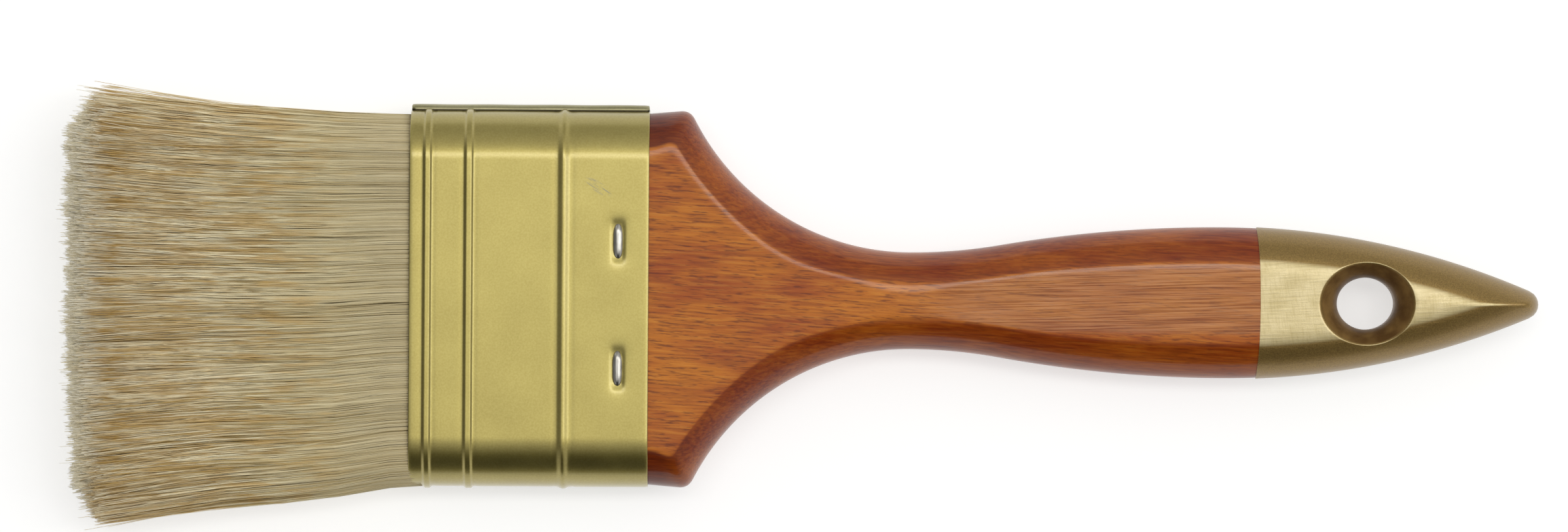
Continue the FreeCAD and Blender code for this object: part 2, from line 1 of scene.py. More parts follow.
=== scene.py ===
# %% [markdown]
# # A flat paint brush
# A varnished hardwood handle, a brassy sheet metal ferrule, wire staples and natural bristles.
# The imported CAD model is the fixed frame. Everything here is drawn around it, in metres, where the CAD says.

# %% Load the frame
import json
import math
import bpy
import numpy as np
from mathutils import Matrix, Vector


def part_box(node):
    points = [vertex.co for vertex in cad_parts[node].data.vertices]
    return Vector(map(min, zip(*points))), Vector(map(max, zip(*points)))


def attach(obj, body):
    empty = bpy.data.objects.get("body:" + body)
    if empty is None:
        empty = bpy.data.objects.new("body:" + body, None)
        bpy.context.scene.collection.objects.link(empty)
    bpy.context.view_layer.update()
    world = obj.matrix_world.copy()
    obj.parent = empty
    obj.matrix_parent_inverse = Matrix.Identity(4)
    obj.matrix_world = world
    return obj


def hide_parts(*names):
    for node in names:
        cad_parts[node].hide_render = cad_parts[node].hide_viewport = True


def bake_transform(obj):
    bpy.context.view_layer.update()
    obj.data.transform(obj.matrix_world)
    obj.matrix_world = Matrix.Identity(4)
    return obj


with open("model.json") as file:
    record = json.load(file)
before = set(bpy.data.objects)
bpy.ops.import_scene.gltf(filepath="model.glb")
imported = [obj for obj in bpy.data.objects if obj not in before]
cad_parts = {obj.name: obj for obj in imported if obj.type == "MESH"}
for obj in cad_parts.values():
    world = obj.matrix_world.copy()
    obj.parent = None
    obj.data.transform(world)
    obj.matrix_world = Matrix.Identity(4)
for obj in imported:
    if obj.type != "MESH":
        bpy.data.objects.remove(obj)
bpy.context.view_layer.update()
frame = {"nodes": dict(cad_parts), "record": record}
MM = 0.001
print("CAD nodes:", sorted(frame["nodes"]))

# %% [markdown]
# ## Measures
# Places come from the CAD nodes. The resin set fills the ferrule, so its box is the inside of the sheet.
# The hinge of the tuft lies in the middle plane of the brush.

# %% Measures from the frame
resin_low, resin_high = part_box("resin_set")
ferrule_low, ferrule_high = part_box("ferrule")
tuft_low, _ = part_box("bristles_top")
GAUGE = 0.4 * MM
MOUTH_X, REAR_X, TIP_X = ferrule_low.x, ferrule_high.x, tuft_low.x
MID_Z = (resin_low.z + resin_high.z) / 2
INNER_RADIUS = (resin_high.z - resin_low.z) / 2
INNER_FLAT = resin_high.y - INNER_RADIUS
OUTER_RADIUS = INNER_RADIUS + GAUGE
FERRULE_LENGTH = REAR_X - MOUTH_X
FREE_LENGTH = MOUTH_X - TIP_X
HOLE_X = 113.0  # mm from the ferrule's rear edge to the middle of the hanging hole
BORE_ALONG, BORE_ACROSS = 4.55, 4.1  # mm, half the hole's length and width
RIM_ALONG, RIM_ACROSS = 7.45, 6.5  # mm, the same at the rim of its flare
BORE_HALF = 2.0  # mm, half the height of its straight part, between the two flares
rng = np.random.default_rng(60)
print(f"ferrule {FERRULE_LENGTH / MM:.1f} mm long, bristles {FREE_LENGTH / MM:.1f} mm free")

# %% [markdown]
# ## Surfaces from grids
# A surface is an array of points, rows by columns. Closing it in both directions makes a ring like a
# doughnut, which needs no caps. The signed volume of a closed surface is negative when its faces look
# inwards, so the mesh is turned round by that sign and never by eye.

# %% Mesh helpers
def place_in_scene(name, data):
    piece = bpy.data.objects.new(name, data)
    bpy.context.scene.collection.objects.link(piece)
    return piece


def mesh_from(name, points, corners, sides, **attributes):
    """A smooth mesh from points (n, 3) and faces of `sides` corners each, facing outwards.

    The sum of the products first . (second x third) over the faces is six times the volume.
    """
    corners = corners.reshape(-1, sides)
    a, b, c = (points[corners[:, k]] for k in range(3))
    volume = np.einsum("ij,ij->i", a, np.cross(b, c)).sum()
    if sides == 4:
        d = points[corners[:, 3]]
        volume += np.einsum("ij,ij->i", a, np.cross(c, d)).sum()
    if volume < 0:
        corners = corners[:, ::-1]
    mesh = bpy.data.meshes.new(name)
    mesh.vertices.add(len(points))
    mesh.vertices.foreach_set("co", points.astype(np.float32).ravel())
    mesh.loops.add(corners.size)
    mesh.loops.foreach_set("vertex_index", corners.astype(np.int32).ravel())
    mesh.polygons.add(len(corners))
    mesh.polygons.foreach_set("loop_start", np.arange(0, corners.size, sides, dtype=np.int32))
    mesh.update(calc_edges=True)
    mesh.shade_smooth()
    for key, values in attributes.items():
        layer = mesh.attributes.new(key, "FLOAT", "POINT")
        layer.data.foreach_set("value", values.astype(np.float32).ravel())
    print(f"{name}: {len(corners) * (sides - 2)} triangles, {abs(volume) / 6 / MM ** 3:.0f} mm3")
    return place_in_scene(name, mesh)


def points_from(x, y, z):
    """Points from three coordinates, each an array, a row, a column or a number."""
    return np.stack(np.broadcast_arrays(x, y, z), -1)


def ring_surface(name, points):
    """A surface closed in both directions, from points (rows, columns, 3)."""
    rows, columns = points.shape[:2]
    i, j = np.meshgrid(np.arange(rows), np.arange(columns), indexing="ij")
    next_i, next_j = (i + 1) % rows, (j + 1) % columns
    corners = np.stack([i * columns + j, next_i * columns + j, next_i * columns + next_j,
                        i * columns + next_j], -1)
    return mesh_from(name, points.reshape(-1, 3), corners, 4)


def tube_corners(rings, columns):
    """Triangles of a tube closed to a point at both ends: point 0, then the rings, then the last point."""
    j = np.arange(columns)
    after = (j + 1) % columns
    low = 1 + columns * np.arange(rings - 1)[:, None]
    high = low + columns
    one = np.stack([low + j, high + j, high + after], -1).reshape(-1, 3)
    two = np.stack([low + j, high + after, low + after], -1).reshape(-1, 3)
    last_ring = 1 + columns * (rings - 1)
    first = np.stack([0 * j, 1 + j, 1 + after], -1)
    last = np.stack([0 * j + last_ring + columns, last_ring + after, last_ring + j], -1)
    return np.concatenate([first, one, two, last])


def tube_surface(name, points):
    """A surface closed round its columns, whose first and last rows have each shrunk to one point."""
    rows, columns = points.shape[:2]
    flat = np.concatenate([points[0, :1], points[1:-1].reshape(-1, 3), points[-1, :1]])
    return mesh_from(name, flat, tube_corners(rows - 2, columns), 3)


def spread(start, end, step, zones=(), fine=0.12 * MM):
    """Values from start to end, a step apart, and as close as `fine` in the zones (middle, half width)."""
    trial = np.linspace(start, end, 4000)
    density = np.full(trial.size, 1 / step)
    for middle, half in zones:
        density = np.maximum(density, np.exp(-((trial - middle) / half) ** 4) / fine)
    total = np.concatenate([[0], np.cumsum((density[1:] + density[:-1]) / 2 * np.diff(trial))])
    count = int(math.ceil(total[-1])) + 1
    return np.interp(np.linspace(0, total[-1], count), total, trial)


def smooth(value, low, high):
    """0 below low, 1 above high, and 3t^2 - 2t^3 between."""
    t = np.clip((value - low) / (high - low), 0, 1)
    return t * t * (3 - 2 * t)

# %% [markdown]
# ## Materials
# Blender shades in linear light, while a paint chart gives sRGB, so one function turns one into the other.
# One more adds a node with its settings and links. Every pattern reads Object coordinates in metres, and its
# scale is worked out from a size in millimetres: noise with features of 2 mm has its place divided by 2 mm.

# %% Material helpers
def paint(code):
    """sRGB hex to linear red, green, blue and full alpha."""
    parts = [int(code[k:k + 2], 16) / 255 for k in (1, 3, 5)]
    return tuple(p / 12.92 if p <= 0.04045 else ((p + 0.055) / 1.055) ** 2.4 for p in parts) + (1.0,)


def add(tree, kind, inputs=None, stops=(), output=0, **settings):
    """Adds a node and gives one of its outputs.

    inputs maps a socket's name or number to a number, a vector, a hex colour or the output that feeds it.
    stops are a colour ramp's places, in order, each with a hex colour or a level of grey.
    """
    node = tree.nodes.new("ShaderNode" + kind)
    for key, value in settings.items():
        setattr(node, key, value)
    for key, value in (inputs or {}).items():
        if isinstance(value, bpy.types.NodeSocket):
            tree.links.new(value, node.inputs[key])
        else:
            node.inputs[key].default_value = paint(value) if isinstance(value, str) else value
    for k, (place, colour) in enumerate(stops):
        elements = node.color_ramp.elements
        element = elements[k] if k < 2 else elements.new(1.0)
        element.position = place
        element.color = paint(colour) if isinstance(colour, str) else (colour, colour, colour, 1)
    return node.outputs[output]


def new_material(name, **surface):
    """A material with one Principled surface, whose sockets are set by name with _ for a space."""
    material = bpy.data.materials.new(name)
    material.use_nodes = True
    tree = material.node_tree
    shader = tree.nodes["Principled BSDF"]
    for key, value in surface.items():
        shader.inputs[key.replace("_", " ")].default_value = value
    print("finish:", name)
    return material, tree, shader


def grain(tree, along, across, detail=3.0, turn=0.0, **inputs):
    """Noise whose features are `along` mm long and `across` mm wide, their length turned from X about Z."""
    place = add(tree, "TexCoord", output="Object")
    moved = add(tree, "Mapping", {
        "Vector": place, "Rotation": (0, 0, turn), "Scale": (along * MM, across * MM, across * MM)},
        vector_type="TEXTURE")
    return add(tree, "TexNoise", {"Vector": moved, "Scale": 1.0, "Detail": detail, **inputs}, output="Fac")


def layered(tree, colour, *coats):
    """Lays coats over a colour in turn. A coat is (share of 0 to 1, colour), and may end with a blend."""
    for share, coat, *blend in coats:
        colour = add(tree, "Mix", {0: share, 6: colour, 7: coat}, output=2, data_type="RGBA",
                     blend_type=blend[0] if blend else "MIX")
    return colour


def times(tree, *shares):
    """The product of several shares: 1 only where all of them are 1."""
    result = shares[0]
    for share in shares[1:]:
        result = add(tree, "Math", {0: result, 1: share}, operation="MULTIPLY")
    return result


SOFT = {"interpolation_type": "SMOOTHSTEP"}  # makes a Map Range go from 0 to 1 without corners


def on_flat(tree, low, high):
    """1 where the surface faces straight up or down, 0 where its normal's Z is below low."""
    normal = add(tree, "TexCoord", output="Normal")
    upward = add(tree, "Math", {0: add(tree, "SeparateXYZ", {0: normal}, output="Z")}, operation="ABSOLUTE")
    return add(tree, "MapRange", {"Value": upward, "From Min": low, "From Max": high}, **SOFT)


def beyond(tree, low, high, axis="X"):
    """0 below low mm along an axis of the brush, 1 above high mm."""
    place = add(tree, "SeparateXYZ", {0: add(tree, "TexCoord", output="Object")}, output=axis)
    return add(tree, "MapRange", {"Value": place, "From Min": low * MM, "From Max": high * MM}, **SOFT)


def from_spot(tree, x, y, along, across, turn=0.0):
    """1 on an ellipse about a place in mm, less inside it and more outside. Its half sizes are in mm too."""
    spot = add(tree, "Mapping", {
        "Vector": add(tree, "TexCoord", output="Object"), "Location": (x * MM, y * MM, 0),
        "Rotation": (0, 0, turn), "Scale": (along * MM, across * MM, 1)}, vector_type="TEXTURE")
    return add(tree, "VectorMath", {0: spot}, output="Value", operation="LENGTH")


def surfaced(tree, shader, colour, *reliefs):
    """Feeds a colour and a chain of bumps to a shader. A relief is (height socket, depth in mm)."""
    tree.links.new(colour, shader.inputs["Base Color"])
    normal = {}
    for height, depth in reliefs:
        normal = {"Normal": add(tree, "Bump", {
            "Height": height, "Distance": depth * MM, "Strength": 1.0, **normal}, output="Normal")}
    if normal:
        tree.links.new(normal["Normal"], shader.inputs["Normal"])

# %% [markdown]
# ### Varnished hardwood
# The handle is a close-grained hardwood, coloured with a reddish brown stain and dipped in clear varnish.
# The eye sees the stain's slow blotches, the wood's fibres, and the fine dark pores that run along it. Over
# them lies a smooth clear coat that mirrors the light. The coat is the shader's own coat layer, so wood and
# varnish keep separate roughness. The rounded edges are painted darker than the flat faces, a painted shade
# for faces turned from the light, and darker still on the shoulder by the ferrule. The belly's flats carry a
# lighter, greyer streaked tone, a painted reflection of the light that they mirror. Real pores are under
# 0.1 mm wide, too fine to show, so they are drawn 0.24 mm wide.

# %% Varnished hardwood
def varnished_hardwood():
    material, tree, shader = new_material(
        "beech_stained_and_varnished", Roughness=0.45, IOR=1.5, Specular_IOR_Level=0.1, Coat_Weight=0.5,
        Coat_Roughness=0.12, Coat_IOR=1.5)
    bands = grain(tree, 45, 2.2, turn=-0.07, Distortion=0.5)
    streaks = grain(tree, 7, 0.42, detail=5.0, turn=-0.06)
    pores = grain(tree, 2.4, 0.24, detail=2.0, turn=-0.06)
    blotch = grain(tree, 16, 6)
    lines = grain(tree, 12, 0.22, turn=0.03)
    flat = on_flat(tree, 0.965, 0.992)

    wood = add(tree, "ValToRGB", {0: bands}, ((0.28, "#87390a"), (0.5, "#a9560b"), (0.72, "#c27514")))
    fibre = add(tree, "ValToRGB", {0: streaks}, (
        (0.36, "#652606"), (0.47, "#a4540d"), (0.53, "#b46212"), (0.66, "#ce8830")))
    glow = add(tree, "ValToRGB", {0: blotch}, ((0.36, "#963807"), (0.62, "#d8841c")))
    pore = add(tree, "ValToRGB", {0: pores}, ((0.34, 1), (0.46, 0)))
    half_off_flat = add(tree, "Math", {0: flat, 1: 0.5, 2: 0.5}, operation="MULTIPLY_ADD")
    wood = layered(tree, wood, (0.6, fibre), (0.42, glow),
                   (times(tree, pore, 0.62, half_off_flat), "#571f07"))

    # Painted shade: off the flat faces the wood is multiplied darker, and darker still on the shoulder by the
    # ferrule.
    stain_and_painted_shade = layered(tree, wood, (1.0, "#c8ae98", "MULTIPLY"))
    darker_shoulder = layered(tree, stain_and_painted_shade, (1.0, "#b7958a", "MULTIPLY"))
    rear = REAR_X / MM
    stain_and_painted_shade = layered(tree, darker_shoulder, (beyond(tree, rear + 1, rear + 8), stain_and_painted_shade))
    # Painted reflection: a lighter, greyer streaked tone on the belly's flat faces stands for the sheen of the
    # light they mirror.
    painted_shading = times(tree, on_flat(tree, 0.985, 0.995), beyond(tree, 12, 30), beyond(tree, -5.4, -4.2, "Y"))
    paler = add(tree, "ValToRGB", {0: lines}, ((0.38, "#80492a"), (0.5, "#b57848"), (0.7, "#ca9266")))
    wood = layered(tree, stain_and_painted_shade, (flat, wood), (times(tree, painted_shading, 0.62), paler))
    surfaced(tree, shader, wood, (streaks, 0.03), (pores, 0.03))
    return material


MATERIALS = {"varnished_wood": varnished_hardwood()}

# %% [markdown]
# ### Gold lacquer
# The handle's end is dipped in a bronze-gold lacquer: flakes of metal in a clear binder, over bare wood.
# It is satin, it shows the grain beneath as faint lengthwise lines, and the flakes give a fine speckle.
# Its rounded edges get a darker tone, a painted shade for faces turned from the light. Inside the flare of
# the hole it is painted a darker brown, a painted shade in the recess, and it is rougher there. Real flakes
# are finer than 0.1 mm, so they are drawn 0.2 mm wide to show at all.

# %% Gold lacquer
def gold_lacquer():
    material, tree, shader = new_material(
        "gold_flake_lacquer", Metallic=0.75, Roughness=0.4, Coat_Weight=0.4, Coat_Roughness=0.25)
    flakes = grain(tree, 0.2, 0.2, detail=2.0)
    lines = grain(tree, 6, 0.3, detail=4.0, turn=0.05)
    cracks = grain(tree, 0.3, 2.2, turn=0.12, Distortion=0.6)
    deep = add(tree, "ValToRGB", {0: flakes}, ((0.3, "#7a6130"), (0.7, "#957940")))
    pale = add(tree, "ValToRGB", {0: lines}, ((0.36, "#ab9a67"), (0.5, "#b9a878"), (0.7, "#c2b284")))
    crazed = add(tree, "ValToRGB", {0: cracks}, ((0.36, "#8f7c4a"), (0.5, "#c2b48e")))
    cloudy = add(tree, "ValToRGB", {0: grain(tree, 4, 4)}, ((0.35, "#a39366"), (0.65, "#ccbe98")))
    pale = layered(tree, pale, (0.2, crazed), (0.35, cloudy))
    # Painted shade: the rounded edges get the darker flake tone, and the flat faces get the pale one.
    tone = layered(tree, deep, (on_flat(tree, 0.955, 0.992), pale))

    reach = from_spot(tree, REAR_X / MM + HOLE_X, 0, RIM_ALONG, RIM_ACROSS)
    outside = add(tree, "MapRange", {"Value": reach, "From Min": 0.946, "From Max": 0.992}, **SOFT)
    # Painted shade in the recess: inside the countersink's rim the lacquer is painted a darker brown.
    painted_shading = add(tree, "ValToRGB", {0: grain(tree, 3, 3)}, ((0.35, "#735329"), (0.65, "#997843")))
    tone = layered(tree, painted_shading, (outside, tone))

    rough = add(tree, "MapRange", {"Value": flakes, "To Min": 0.32, "To Max": 0.5})
    rougher = add(tree, "Math", {0: outside, 1: -0.3, 2: 0.3}, operation="MULTIPLY_ADD")
    rough = add(tree, "Math", {0: rough, 1: rougher}, operation="ADD")
    tree.links.new(rough, shader.inputs["Roughness"])
    surfaced(tree, shader, tone, (lines, 0.025), (cracks, 0.012), (flakes, 0.008))
    return material


MATERIALS["gold_lacquer"] = gold_lacquer()

# %% [markdown]
# ### Plated sheet
# The ferrule is thin tinplate with a clear gold lacquer, rolled from a coil. It is a metal to the eye:
# yellow reflections, a satin gloss, the coil's faint rolling marks and one patch of scratches. The marks
# are drawn 0.35 mm apart, coarser than real ones, to show at all. The seam rubs on everything that the
# brush is laid beside, so it is duller, and its fold under the lip is painted near black as painted shade.

# %% Plated sheet
def scuff(tree, x, y, degrees, length, width):
    """A patch of fine scratches about a place in mm: 1 on a scratch, 0 elsewhere."""
    turn = math.radians(degrees)
    reach = from_spot(tree, x, y, length / 2, width / 2, turn)
    inside = add(tree, "MapRange", {"Value": reach, "From Min": 1.0, "From Max": 0.6}, **SOFT)
    lines = grain(tree, 2.6, 0.15, detail=2.0, turn=turn)
    lines = add(tree, "MapRange", {"Value": lines, "From Min": 0.53, "From Max": 0.6}, **SOFT)
    return times(tree, lines, inside)


def plated_sheet(name, dull, bright, coat, seam=False):
    material, tree, shader = new_material(
        name, Metallic=1.0, Roughness=0.36, Coat_Weight=coat, Coat_Roughness=0.2)
    rolling = grain(tree, 0.35, 7, detail=2.0)
    cloud = grain(tree, 7, 7)
    speck = grain(tree, 0.3, 0.3, detail=2.0)
    tone = add(tree, "ValToRGB", {0: cloud}, ((0.3, dull), (0.7, bright)))
    flecks = add(tree, "ValToRGB", {0: speck}, ((0.35, "#8a7a3c"), (0.65, "#c4b670")))
    marks = times(tree, scuff(tree, -32.4, 17.6, -33, 5.6, 1.9), 0.7)
    tone = layered(tree, tone, (0.14, flecks), (marks, "#6d6a5c"))
    if seam:
        lip = ferrule_high.y / MM
        # Painted shade: the seam below its lip is painted near black, standing for the shadow in the fold.
        tone = layered(tree, "#2e2710", (beyond(tree, lip - 0.86, lip - 0.7, "Y"), tone))
    rough = add(tree, "MapRange", {"Value": cloud, "To Min": 0.33, "To Max": 0.40})
    tree.links.new(rough, shader.inputs["Roughness"])
    surfaced(tree, shader, tone, (rolling, 0.003), (speck, 0.0012))
    return material


MATERIALS["plated_sheet"] = plated_sheet("gold_lacquered_tinplate", "#968842", "#a0924a", 1.0)
SEAM_SHEET = plated_sheet("dull_seam_tinplate", "#8a8666", "#9b9778", 0.3, seam=True)

# %% [markdown]
# ### Steel wire, resin, bare wood and packed bristle
# The staples are bright drawn wire. The resin and the filler strips sit inside the ferrule, out of sight,
# and still get the finish they have. Deep in the tuft the bristles are packed in shade. Each of these is two
# tones mixed by one grain, which is also its relief, so one function makes all four.

# %% Steel wire, resin, bare wood and packed bristle
def two_toned(name, size, detail, dark, light, relief, **surface):
    """A material with grain of a size (along, across) in mm, from dark to light, and relief in mm."""
    material, tree, shader = new_material(name, **surface)
    pattern = grain(tree, *size, detail=detail)
    surfaced(tree, shader, add(tree, "ValToRGB", {0: pattern}, (dark, light)), (pattern, relief))
    return material


MATERIALS["wire"] = two_toned(
    "bright_drawn_steel_wire", (0.25, 2.0), 2.0, (0.3, "#918d84"), (0.7, "#c4c1b8"), 0.01, Metallic=1.0,
    Roughness=0.28)
MATERIALS["resin"] = two_toned(
    "cured_epoxy_with_bristle_butts", (4, 0.3), 1.0, (0.4, "#4a2f1a"), (0.6, "#8d7450"), 0.05, Roughness=0.4)
MATERIALS["raw_wood"] = two_toned(
    "sawn_pine", (30, 1.0), 3.0, (0.35, "#b98f5c"), (0.65, "#dcbf90"), 0.05, Roughness=0.7)
INNER_BRISTLE = two_toned(
    "packed_bristle_in_shade", (20, 0.3), 2.0, (0.3, "#a99566"), (0.7, "#cdbb90"), 0.15, Roughness=0.8)

# %% [markdown]
# ### Bristle
# Hog bristle is pale and slightly glossy, each hair with its own shade from cream to brown. The tuft is
# greyish near the ferrule, warmer and more contrasted along its length, and pale again at the split tips,
# with patches of tan behind them. Each hair carries two numbers on its points: its tone, which is its own
# colour and, on the long hairs, a painted shade that darkens those lying deeper, and how far along it the
# point lies.

# %% Bristle
def hog_bristle():
    material, tree, shader = new_material("hog_bristle", Roughness=0.5, IOR=1.5, Specular_IOR_Level=0.4)
    tone = add(tree, "Attribute", output="Fac", attribute_name="tone")
    along = add(tree, "Attribute", output="Fac", attribute_name="along")
    uneven = add(tree, "Math", {0: grain(tree, 2.5, 0.5), 1: 0.22, 2: -0.11}, operation="MULTIPLY_ADD")
    along = add(tree, "Math", {0: along, 1: uneven}, operation="ADD")
    dark = add(tree, "ValToRGB", {0: along}, (
        (0.0, "#b7a67a"), (0.25, "#bca876"), (0.5, "#bfa467"), (0.86, "#dab975"), (0.96, "#efe3c0")))
    light = add(tree, "ValToRGB", {0: along}, (
        (0.0, "#d1c39b"), (0.3, "#e6dab2"), (0.6, "#fff5d2"), (0.86, "#fff6d6"), (0.96, "#fff9e6")))
    patch = add(tree, "MapRange", {
        "Value": grain(tree, 8, 1.1), "From Min": 0.46, "From Max": 0.59}, **SOFT)
    where = add(tree, "ValToRGB", {0: along}, (
        (0.15, 0), (0.4, "#cccccc"), (0.8, "#b4b4b4"), (0.87, "#f8f8f8"), (0.92, "#c8c8c8"), (0.95, 0)))
    surfaced(tree, shader, layered(tree, dark, (tone, light), (times(tree, patch, where), "#cda75a")))
    return material


MATERIALS["bristle"] = hog_bristle()

# %% [markdown]
# ## What is inside
# The resin and the filler strips keep the CAD shape, which is right, and get their finish.

# %% Finishes for the CAD pieces that stay
def finish(piece, slot, body, *nodes, material=None):
    """Gives a piece its material, its body and the CAD nodes that it stands for."""
    piece.data.materials.append(material or MATERIALS[slot])
    if body:
        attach(piece, body)
    if nodes:
        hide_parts(*nodes)


for entry in frame["record"]["subparts"]:
    node = frame["nodes"][entry["node"]]
    for slot in node.material_slots:
        slot.material = MATERIALS[entry["material_slot"]]
        print(entry["node"], "gets", slot.material.name)

# %% [markdown]
# ## Handle
# A handle like this is sawn to its outline, then a spindle cutter with a hollow edge runs round it and
# rounds both edges at once, and the faces are sanded flat. So its height above the middle plane depends on
# one thing: how far in from the outline a point lies. Near the outline it follows the cutter's arc, and
# further in it is cut off by the flat face. That gives the crisp line where the two meet, the mitre at the
# shoulder and the ridge at the nose without drawing any of them.

# %% The outline, as a distance
# All in mm. X is from the ferrule's rear edge, and a half is half a width, at a place on the outline.
SHOULDER_X, SHOULDER_HALF, SHOULDER_FLARE = 6.4, 29.30, 0.55
COVE_RADIUS, NECK_X, NECK_HALF, SWEEP_RADIUS = 38.2, 41.1, 7.65, 82.0
BELLY_X, BELLY_HALF = 90.3, 11.93
HANDLE_LENGTH, NOSE_RADIUS = 140.2, 2.2
NOSE_X = HANDLE_LENGTH - NOSE_RADIUS
COVE_ONLY_X, CORNER_BLEND = 25.0, 1.5  # the shoulder's corner is rounded off, and lies before this X
RISE = BELLY_HALF - NECK_HALF
FRONT_RADIUS = ((BELLY_X - NECK_X) ** 2 + RISE ** 2) / (2 * RISE) - SWEEP_RADIUS
REACH = NOSE_X - BELLY_X
REAR_RADIUS = (REACH ** 2 + BELLY_HALF ** 2 - NOSE_RADIUS ** 2) / (2 * (BELLY_HALF - NOSE_RADIUS))
print(f"belly arcs {FRONT_RADIUS:.0f} and {REAR_RADIUS:.0f} mm")


def soft_min(a, b, blend):
    """The smaller of a and b, rounded off where they differ by less than blend: min - m^2 blend / 4."""
    m = np.clip(1 - np.abs(a - b) / blend, 0, 1)
    return np.minimum(a, b) - m * m * blend / 4


def inward(x, y):
    """Distance in mm from the handle's outline to a point inside it. x is from the ferrule's rear edge.

    Inside a hollow arc it is the distance to the centre less the radius, and inside a full arc the radius
    less that distance. Each arc counts between the lines from its centre to its two ends.
    """
    y = np.abs(y)
    slope = SHOULDER_FLARE / SHOULDER_X
    shoulder = (SHOULDER_HALF + slope * x - y) / math.hypot(1, slope)
    cove = np.hypot(x - NECK_X, NECK_HALF + COVE_RADIUS - y) - COVE_RADIUS
    sweep_y = NECK_HALF + SWEEP_RADIUS
    sweep = np.hypot(x - NECK_X, sweep_y - y) - SWEEP_RADIUS
    front_y = BELLY_HALF - FRONT_RADIUS
    front = FRONT_RADIUS - np.hypot(x - BELLY_X, y - front_y)
    rear_y = BELLY_HALF - REAR_RADIUS
    rear = REAR_RADIUS - np.hypot(x - BELLY_X, y - rear_y)
    nose = NOSE_RADIUS - np.hypot(x - NOSE_X, y)
    past_join = (x - NECK_X) * (front_y - sweep_y) - (y - sweep_y) * (BELLY_X - NECK_X) < 0
    past_flank = (x - BELLY_X) * (0 - rear_y) - (y - rear_y) * REACH > 0
    belly = np.where(x < BELLY_X, front, rear)
    side = np.where(x < NECK_X, cove, np.where(past_join, belly, sweep))
    side = np.where(past_flank & (x > NOSE_X), nose, side)
    return np.where(x < COVE_ONLY_X, soft_min(shoulder, side, CORNER_BLEND), side)


def eased(t):
    """0 to 1 along two parabolas that meet halfway: 2t^2, then 1 - 2(1 - t)^2."""
    t = np.clip(t, 0, 1)
    return np.where(t < 0.5, 2 * t * t, 1 - 2 * (1 - t) ** 2)


CUTTER_RADIUS, STOCK_HALF, NECK_THIN, END_THIN = 7.5, 7.35, 0.40, 0.45
LACQUER, DIP_X = 0.15, 96.2  # the lacquer's thickness and where it begins
BEYOND_OUTLINE = 33.0  # mm from the middle line, further out than any part of the outline


def face_height(x):
    """Half the thickness between the flat faces: full, thinner at the neck, full at the belly, thinner on."""
    dip = np.where(x < NECK_X, eased((x - SHOULDER_X) / (NECK_X - SHOULDER_X)),
                   1 - eased((x - NECK_X) / (BELLY_X - NECK_X)))
    fall = (np.clip(x - BELLY_X, 0, None) / (HANDLE_LENGTH - BELLY_X)) ** 2
    return STOCK_HALF - NECK_THIN * dip - END_THIN * fall


def wood_height(x, y, grow=0.0):
    """Height of the surface above the middle plane in mm: the lower of the cutter's arc and the face.

    The arc is sqrt(R^2 - (R - d)^2) for a distance d in from the outline. d counts for more at the shoulder,
    where the rounding is narrower. Sanding softens the line between arc and face a little everywhere, more
    where lacquer fills it, and takes it away at the neck. grow thickens everything evenly.
    """
    radius = CUTTER_RADIUS + grow
    narrower = 1 + 0.25 * smooth(x, 0, 6) * (1 - smooth(x, 8, 24))
    d = np.clip(inward(x, y) * narrower + grow, 0, radius)
    arc = np.sqrt(np.clip(radius ** 2 - (radius - d) ** 2, 0, None))
    filled, at_neck = 0.35 * grow / LACQUER, np.exp(-((x - NECK_X + 0.6) / 5.5) ** 2)
    sanding = 0.3 + filled + 0.9 * at_neck
    return np.clip(soft_min(arc, face_height(x) + grow, sanding), 0, None)


def edge_of(inside, low, high):
    """Where inside(t), positive at low and negative at high, crosses zero, by halving 40 times."""
    for _ in range(40):
        middle = (low + high) / 2
        keep = inside(middle) > 0
        low, high = np.where(keep, middle, low), np.where(keep, high, middle)
    return low


def to_brush(x, y, z):
    """Handle millimetres to the brush's frame in metres."""
    return points_from(REAR_X + x * MM, y * MM, MID_Z + z * MM)

# %% [markdown]
# The wood is a tube: at each station along the handle its section goes over the top and back underneath.
# Points crowd towards the outline, where the surface turns down. It starts in the ferrule and ends under the
# lacquer.

# %% Wood
def wood_surface(columns=90):
    """Rows of points round the handle. Across a row y = w sin(t), t from 90 to -90 degrees and back."""
    zones = [(0.0, 1.0), (SHOULDER_X, 4.0), (36.0, 6.0)]
    x = spread(-1.5, DIP_X + 1.5, 0.55, zones, fine=0.22)[:, None]
    half = edge_of(lambda y: inward(x, y), 0 * x, 0 * x + BEYOND_OUTLINE)
    t = np.concatenate([np.linspace(np.pi / 2, -np.pi / 2, columns, endpoint=False),
                        np.linspace(-np.pi / 2, np.pi / 2, columns, endpoint=False)])[None, :]
    y = half * np.sin(t)
    side = np.concatenate([np.ones(columns), -np.ones(columns)])[None, :]
    points = to_brush(x, y, side * wood_height(x, y))
    first, last = (row * [1, 0, 0] + [0, 0, MID_Z] for row in (points[:1], points[-1:]))
    return np.concatenate([first, points, last])


finish(tube_surface("handle_wood", wood_surface()), "varnished_wood", "brush", "handle")

# %% [markdown]
# ### Lacquered end and hanging hole
# The end has a hole through it, so it can't be a tube. Seen from the hole every part of the outline lies in
# plain sight, so each ray from the hole's middle runs out over the top, turns down at the edge, comes back
# underneath and returns up the hole's wall: a ring in both directions. The hole is a little longer than
# wide, as hand-held drilling and its two countersinks leave it.

